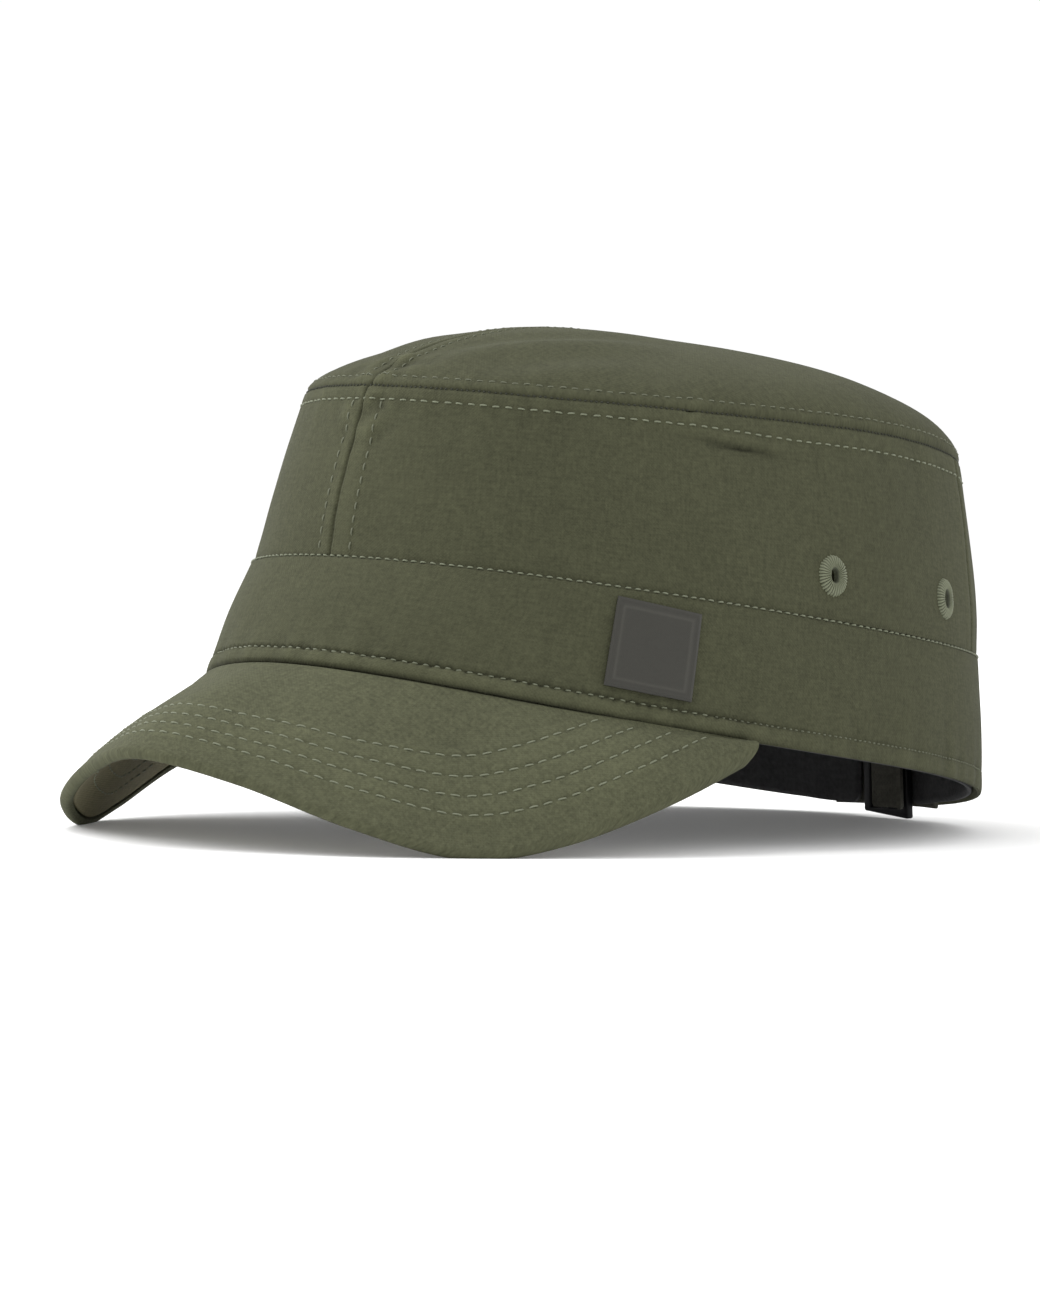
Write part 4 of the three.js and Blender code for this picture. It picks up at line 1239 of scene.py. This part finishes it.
def stitch_row(line, out, pitch, length, radius=THREAD_RADIUS):
    """Points and faces of a row of stitches along a line, in mm."""
    lengths = run_lengths(line)
    middles = np.arange(pitch / 2, lengths[-1] - length / 2, pitch)
    wander = np.random.default_rng(len(middles)).uniform(-0.14, 0.14, (2, len(middles)))
    stations = middles[:, None] + wander[0][:, None] + STITCH_STATIONS[None, :] * length / 2
    spot = np.stack([np.interp(stations, lengths, line[:, axis]) for axis in range(3)], -1)
    way = np.stack([np.interp(stations, lengths, out[:, axis]) for axis in range(3)], -1)
    way = way / np.linalg.norm(way, axis=-1, keepdims=True)
    heading = spot[:, -1:] - spot[:, :1]
    heading = heading / np.linalg.norm(heading, axis=-1, keepdims=True)
    side = np.cross(way, heading)
    spot = spot + side * (wander[1][:, None] * STITCH_STATIONS[None, :])[..., None] * 0.6
    rise = radius * (0.75 - 1.9 * np.abs(STITCH_STATIONS) ** 3)
    spot = spot + way * rise[None, :, None]
    girth = radius * np.sqrt(np.clip(1.04 - STITCH_STATIONS ** 4, 0.02, 1))
    angles = np.arange(THREAD_SIDES) / THREAD_SIDES * 2 * pi
    ring = np.cos(angles)[:, None] * side[:, :, None, :] + np.sin(angles)[:, None] * way[:, :, None, :]
    points = spot[:, :, None, :] + girth[None, :, None, None] * ring
    index = np.arange(points[..., 0].size).reshape(points.shape[:3])
    turned = np.roll(index, -1, 2)
    quads = np.stack([index[:, :-1], turned[:, :-1], turned[:, 1:], index[:, 1:]], -1).reshape(-1, 4)
    first, last = index[:, 0], index[:, -1]
    caps = [first[:, [0, 3, 2, 1]], first[:, [0, 5, 4, 3]], last[:, [0, 1, 2, 3]], last[:, [0, 3, 4, 5]]]
    return points.reshape(-1, 3), np.concatenate([quads] + caps)


def stitches(name, rows):
    """One piece from several rows."""
    points, faces, count = [], [], 0
    for row_points, row_faces in rows:
        points.append(row_points)
        faces.append(row_faces + count)
        count += len(row_points)
    piece = mesh_piece(name, np.concatenate(points), np.concatenate(faces), sharp=180)
    print(name, "faces:", len(piece.data.polygons))
    return piece


print("stitches have", len(STITCH_STATIONS), "rings of", THREAD_SIDES, "points")

# %% [markdown]
# The wall has rows under the top seam, beside the front seam, at the band's fold and along the
# hem. Round the back and the sides the hem's row shows as dots. In the top seam's valley a chain
# of the seam's thread closes the gap between the panels; its near-black colour is painted shade
# of the valley.

# %% Rows on the wall
def wall_line(turns, climbs, relief, **stitch):
    line = laid(wall_point(turns, climbs, relief(turns, climbs)))
    return stitch_row(line, laid(wall_out(turns, climbs)) - LAID_AT, **stitch)


def wall_row(start, end, climb, relief, **stitch):
    """A row round the wall; climb is one height, or a function of the turns."""
    turns = np.linspace(start, end, int(abs(end - start) * 3) + 8)
    climbs = np.broadcast_to(climb(turns) if callable(climb) else climb, turns.shape)
    return wall_line(turns, climbs, relief, **stitch)


def upright_row(offset, low, high, relief, **stitch):
    """A row up the crown's wall, at a distance along the wall from the front seam."""
    climbs = np.linspace(low, high, 60)
    turns = np.full(climbs.shape, np.interp(offset, ARCS[MID_CROWN], TABLE_TURNS))
    return wall_line(turns, climbs, relief, **stitch)


def on_crown(turn, climb):
    return crown_relief(turn, climb) - crown_depth(climb)


def in_valley(turn, climb):
    return on_crown(turn, climb) - 0.02


def on_hem(turn, climb):
    return band_relief(turn, climb) + band_unevenness(turn, climb)


def on_fold(turn, climb):
    """Over the narrow groove beside the band's fold, so that the groove shows between stitches."""
    return band_unevenness(turn, climb) - 0.12


def top_row_climb(turns):
    return WALL_HEIGHT - row_below(turns)


crown_rows = [wall_row(-180, 180, top_row_climb, on_crown, **CROWN_STITCH)]
crown_stitches = stitches("crown_stitches", crown_rows)
front_rows = []
for offset in (-FRONT_ROW, FRONT_ROW):
    front_rows.append(upright_row(offset, BAND_HEIGHT + 0.8, WALL_HEIGHT - 0.8, on_crown, **FRONT_STITCH))
front_seam_stitches = stitches("front_seam_stitches", front_rows)
# The seam's own thread, coloured near black as painted shade of the valley.
chain = wall_row(-180, 180, WALL_HEIGHT - 0.05, in_valley, **CHAIN_STITCH)
top_seam_painted_shade_chain = stitches("top_seam_painted_shade_chain", [chain])

# %% Rows on the band
HEM_ROW_CLIMB = HEM_HEIGHT + 0.15
band_rows = [wall_row(-PUFF_START, PUFF_START, HEM_ROW_CLIMB, on_hem, **HEM_STITCH)]
band_rows.append(wall_row(-180, 180, BAND_HEIGHT - BAND_TOP_ROW, on_fold, **FOLD_STITCH))
band_stitches = stitches("band_stitches", band_rows)
rim_rows = []
slot_gap = turns_aside(SLOT_WIDTH / 2 + 1)
for start, end in ((PUFF_START, BACK_TURN - slot_gap), (BACK_TURN + slot_gap - 360, -PUFF_START)):
    rim_rows.append(wall_row(start, end, HEM_ROW_CLIMB, on_hem, **RIM_STITCH))
rim_stitches = stitches("rim_stitches", rim_rows)

# %% [markdown]
# The top has one row beside the top seam and one on each side of the middle seam. The two
# middle rows end where they reach the row beside the top seam.

# %% Rows on the top
HALVINGS = 24


def dome_row(turns, reaches):
    moved = dome_relief(turns, reaches) + dome_unevenness(turns, reaches)
    out = dome_out(turns, reaches)
    line = laid(dome_point(turns, reaches) + out * moved[..., None])
    return stitch_row(line, laid(out) - LAID_AT, **TOP_STITCH)


def reach_at(turns, distance):
    """The reach whose slant to the top seam is a given distance."""
    low, high = np.zeros(turns.shape), np.ones(turns.shape)
    for step in range(HALVINGS):
        middle = (low + high) / 2
        too_far = dome_slant(turns, middle) > distance
        low = np.where(too_far, middle, low)
        high = np.where(too_far, high, middle)
    return (low + high) / 2


def reach_beside(turns, offset):
    """The reach at which a turn's line is a given distance from the middle seam."""
    edge = ring_point(RINGS["top"], WALL_HEIGHT, turns)
    return np.clip(offset / np.maximum(np.abs(edge[..., 0]), 1e-6), 0, 1)


around = np.linspace(-180, 180, 1200)
top_rows = [dome_row(around, reach_at(around, TOP_ROW_ABOVE))]
for side in (1, -1):
    half_turns = side * np.linspace(0.5, 179.5, 2400)
    beside = reach_beside(half_turns, MIDDLE_ROW)
    on_top = beside < reach_at(half_turns, 0.8)
    top_rows.append(dome_row(half_turns[on_top], beside[on_top]))
top_stitches = stitches("top_stitches", top_rows)


# %% Rows on the peak
def peak_row(distance, underneath):
    """A row along the peak's edge, on its cover or on its lining."""
    places = np.linspace(-PEAK_END_SHARE, PEAK_END_SHARE, 900)
    width, square = peak_width(places)
    shares = distance * row_spread(places) / (square * width)
    shown = shares < 0.975
    places, shares = places[shown], shares[shown]
    out = peak_out(places, shares)
    if underneath:
        out = -out
        depth = PEAK_THICK + 0.6 * quilting(places, shares) * (1 - near_head(shares))
    else:
        depth = -peak_relief(places, shares) * (1 - near_head(shares))
    line = laid(peak_point(places, shares, depth))
    line[..., 2] = np.maximum(line[..., 2], 0.35)
    return stitch_row(line, laid(out) - LAID_AT, **PEAK_STITCH)


peak_stitches = stitches("peak_stitches", [peak_row(distance, False) for distance in PEAK_ROWS])
lining_stitches = stitches("lining_stitches", [peak_row(distance, True) for distance in PEAK_ROWS])

# %% [markdown]
# Every finish is a small tree of nodes. Writing it as sums is easier to read than wiring it,
# so one class wraps a socket and adds a Math node for each operator.

# %% Sums of sockets
class Value:
    """A number that varies over a surface, as the output of a node."""

    def __init__(self, tree, socket):
        self.tree = tree
        self.socket = socket

    def math(self, operation, other=None, swapped=False):
        node = self.tree.nodes.new("ShaderNodeMath")
        node.operation = operation
        first, second = (other, self) if swapped else (self, other)
        for slot_number, item in enumerate((first, second)):
            if isinstance(item, Value):
                self.tree.links.new(item.socket, node.inputs[slot_number])
            elif item is not None:
                node.inputs[slot_number].default_value = item
        return Value(self.tree, node.outputs[0])

    def __add__(self, other):
        return self.math("ADD", other)

    def __radd__(self, other):
        return self.math("ADD", other, True)

    def __sub__(self, other):
        return self.math("SUBTRACT", other)

    def __rsub__(self, other):
        return self.math("SUBTRACT", other, True)

    def __mul__(self, other):
        return self.math("MULTIPLY", other)

    def __rmul__(self, other):
        return self.math("MULTIPLY", other, True)

    def sine(self):
        return self.math("SINE")


# %% [markdown]
# Every finish starts as one Principled shader. A second class holds its tree, makes any node
# from one method, and puts the finished material on its pieces.

# %% A finish
class Finish:
    """A material whose nodes come from one method."""

    def __init__(self, name, slot, colour, roughness):
        self.material = bpy.data.materials.new(name)
        self.material.use_nodes = True
        self.tree = self.material.node_tree
        self.shader = self.tree.nodes["Principled BSDF"]
        self.slot = slot
        self.colour = colour
        self.shader.inputs["Base Color"].default_value = (*colour, 1)
        self.shader.inputs["Roughness"].default_value = roughness

    def node(self, kind, settings=None, **sockets):
        made = self.tree.nodes.new("ShaderNode" + kind)
        for setting, value in (settings or {}).items():
            setattr(made, setting, value)
        for socket_name, value in sockets.items():
            socket = made.inputs[socket_name.replace("_", " ")]
            if isinstance(value, Value):
                self.tree.links.new(value.socket, socket)
            else:
                socket.default_value = value
        return made

    def out(self, made, name):
        return Value(self.tree, made.outputs[name])

    def feed(self, socket_name, value):
        self.tree.links.new(value.socket, self.shader.inputs[socket_name])

    def tinted(self, light):
        """The base colour made lighter or darker by a number about 1."""
        mixed = self.node("Mix", {"data_type": "RGBA", "blend_type": "MIX"})
        self.tree.links.new(light.socket, mixed.inputs[0])
        mixed.inputs[6].default_value = (*[part * 0.4 for part in self.colour], 1)
        mixed.inputs[7].default_value = (*[part * 1.6 for part in self.colour], 1)
        return Value(self.tree, mixed.outputs[2])

    def put_on(self, *pieces):
        for piece in pieces:
            piece.data.materials.clear()
            piece.data.materials.append(self.material)


# %% [markdown]
# The cloth is a fine, dense weave whose yarns differ a little in lightness, so close up it
# looks like small crossing dashes. Stretched noise gives them with no picture to load, and it
# never repeats. The lengths along the cloth come from the UV map in mm. The relief that each
# piece keeps paints shade into the grooves beside the seams and a painted highlight onto the
# ridges.

# %% Woven cloth
YARN = 0.42
MOTTLE_SIZE = 0.8


def woven(name, slot, colour, roughness, yarn=YARN, dashes=0.35, weave_depth=0.06,
          relief_shade=0.45, mottle=0.5):
    """Crossing yarns, with patches, specks, and painted shade and highlight from the relief."""
    finish = Finish(name, slot, colour, roughness)
    lengths = finish.out(finish.node("UVMap", {"uv_map": "cloth"}), "UV")
    parts = finish.node("SeparateXYZ", Vector=lengths)
    along, across = finish.out(parts, "X"), finish.out(parts, "Y")
    relief = finish.out(finish.node("Attribute", {"attribute_name": "relief"}), "Fac")

    def streaks(u_size, v_size, seed):
        spot = finish.node("CombineXYZ", X=along * (1 / u_size), Y=across * (1 / v_size), Z=seed)
        noise = finish.node("TexNoise", Vector=finish.out(spot, "Vector"), Scale=1.0, Detail=2.0)
        return finish.out(noise, "Fac") - 0.5

    warp = streaks(yarn, yarn * 7, 1.5)
    weft = streaks(yarn * 7, yarn, 7.5)
    patches = streaks(38, 38, 12.5)
    specks = streaks(MOTTLE_SIZE, MOTTLE_SIZE, 17.5)
    # The relief term paints shade into hollows and a highlight onto ridges; the yarns, specks and patches are
    # the cloth's own colour.
    light = (warp + weft) * dashes + specks * mottle + patches * 0.16 + relief * relief_shade + 0.5
    finish.feed("Base Color", finish.tinted(light))
    turn = 2 * pi / (2 * yarn)
    weave = (along * turn).sine() * (across * turn).sine()
    height = weave * 0.5 + (warp + weft) * 0.8
    bump = finish.node("Bump", Height=height, Strength=1.0, Distance=weave_depth * MM)
    finish.feed("Normal", finish.out(bump, "Normal"))
    finish.shader.inputs["Specular IOR Level"].default_value = 0.2
    return finish


olive = woven("olive_cloth", "olive_cloth", (0.0560, 0.0580, 0.0325), 0.95)
# The peak's cloth is the crown's olive made about 1.3 times lighter, as painted light on its upturned face.
peak_olive_painted_lighter = woven("peak_cloth", "peak_cloth", (0.0725, 0.0755, 0.043), 0.93, dashes=0.25, mottle=0.8)
# The lining's tan is its own colour, made lighter as painted light for the shade under the peak.
lining = woven("lining_cloth", "lining_cloth", (0.172, 0.158, 0.095), 0.93, dashes=0.2)
black_knit = woven("black_cloth", "black_cloth", (0.058, 0.058, 0.06), 0.95, yarn=0.8, relief_shade=0)
strap_weave = woven("strap_cloth", "strap_cloth", (0.085, 0.083, 0.068), 0.9, yarn=0.6, relief_shade=0)
olive.put_on(crown_left, crown_right, crown_back, top_left, top_right, band)
peak_olive_painted_lighter.put_on(peak)
lining.put_on(peak_lining)
black_knit.put_on(sweatband)
strap_weave.put_on(back_strap, strap_free_end)
print("woven finishes:", len(bpy.data.materials))

# %% [markdown]
# Satin is the same weave with a finer yarn and more shine. Thread has no weave, only a fine
# unevenness. It is pale on the peak, at the band's fold and hem and under the top seam, duller
# beside the front seam, on the top and round the rim, and near black in the top seam, where the
# colour is painted shade of the seam's valley. The slider is black plastic with a slight grain.

# %% Satin, thread and plastic
satin = woven("label_satin", "label_satin", (0.041, 0.040, 0.034), 0.45, yarn=0.25, dashes=0.08,
              weave_depth=0.02, relief_shade=0.3, mottle=0.05)
satin.put_on(label)


def thread(name, colour, roughness, *rows):
    """Twisted thread, a little uneven in colour, on rows of stitches."""
    finish = Finish(name, "eyelet_thread", colour, roughness)
    ply = finish.out(finish.node("TexNoise", Scale=900.0, Detail=2.0), "Fac")
    finish.feed("Base Color", finish.tinted((ply - 0.5) * 0.5 + 0.5))
    finish.put_on(*rows)


pale_rows = [crown_stitches, band_stitches, peak_stitches, lining_stitches]
thread("sewing_thread", (0.15, 0.162, 0.105), 0.65, *pale_rows)
thread("dull_thread", (0.108, 0.115, 0.073), 0.75, front_seam_stitches, top_stitches, rim_stitches)
# Near black here is painted shade of the top seam's valley over its thread.
thread("seam_thread_painted_shade", (0.024, 0.026, 0.016), 0.85, top_seam_painted_shade_chain)

eyelet_thread = Finish("eyelet_thread", "eyelet_thread", (0.125, 0.136, 0.083), 0.6)
# The relief attribute here carries the eyelet's painted shade and highlight.
ridges = eyelet_thread.out(eyelet_thread.node("Attribute", {"attribute_name": "relief"}), "Fac")
fuzz = eyelet_thread.out(eyelet_thread.node("TexNoise", Scale=1600.0, Detail=3.0), "Fac")
eyelet_thread.feed("Base Color", eyelet_thread.tinted(ridges * 0.7 + (fuzz - 0.5) * 0.4 + 0.42))
eyelet_thread.put_on(*eyelets)

plastic = Finish("slider_plastic", "slider_plastic", (0.012, 0.012, 0.013), 0.38)
grain = plastic.out(plastic.node("TexNoise", Scale=1400.0, Detail=2.0), "Fac")
pitted = plastic.node("Bump", Height=grain, Strength=0.4, Distance=0.03 * MM)
plastic.feed("Normal", plastic.out(pitted, "Normal"))
plastic.feed("Roughness", grain * 0.2 + 0.3)
plastic.shader.inputs["Specular IOR Level"].default_value = 0.15
plastic.put_on(slider)
print("materials:", len(bpy.data.materials))

# %% [markdown]
# A product picture has a white floor that the eye doesn't notice, and big soft lights. The
# floor is one flat sheet, much wider than the picture, which glows a little so that it stays
# white. A bright world lights the cap evenly from all sides.

# %% The floor
FLOOR_HALF = 6.0
floor_corners = [(x * FLOOR_HALF, y * FLOOR_HALF, 0) for x, y in ((-1, -1), (1, -1), (1, 1), (-1, 1))]
floor_mesh = bpy.data.meshes.new("pale_floor")
floor_mesh.from_pydata(floor_corners, [], [(0, 1, 2, 3)])
floor = bpy.data.objects.new("pale_floor", floor_mesh)
bpy.context.scene.collection.objects.link(floor)
pale = bpy.data.materials.new("pale_floor")
pale.use_nodes = True
pale_shader = pale.node_tree.nodes["Principled BSDF"]
pale_shader.inputs["Base Color"].default_value = (0.9, 0.9, 0.9, 1)
pale_shader.inputs["Roughness"].default_value = 1
pale_shader.inputs["Emission Color"].default_value = (1, 1, 1, 1)
pale_shader.inputs["Emission Strength"].default_value = 0.1
floor_mesh.materials.append(pale)
print("the floor is", 2 * FLOOR_HALF, "m wide")


# %% The lights and the world
def soft_light(name, azimuth, elevation, distance, size, power):
    """A round light that looks at the cap; azimuth 0 is straight ahead of it."""
    light_data = bpy.data.lights.new(name, "AREA")
    light_data.shape = "DISK"
    light_data.size = size
    light_data.energy = power
    light = bpy.data.objects.new(name, light_data)
    bpy.context.scene.collection.objects.link(light)
    a, e = radians(azimuth), radians(elevation)
    spot = Vector((sin(a) * cos(e), -cos(a) * cos(e), sin(e))) * distance
    light.location = spot + Vector((0, 0, 0.05))
    light.rotation_euler = spot.to_track_quat("Z", "Y").to_euler()


soft_light("left_light", -62, 30, 1.8, 1.0, 15)
soft_light("right_light", 140, 24, 1.8, 1.0, 5)
soft_light("top_light", -50, 68, 1.6, 1.2, 13)
world = bpy.data.worlds.new("studio")
world.use_nodes = True
world.node_tree.nodes["Background"].inputs["Color"].default_value = (1, 1, 1, 1)
world.node_tree.nodes["Background"].inputs["Strength"].default_value = 1.02
bpy.context.scene.world = world
bpy.context.scene.view_settings.view_transform = "Standard"
print("lights:", len(bpy.data.lights))
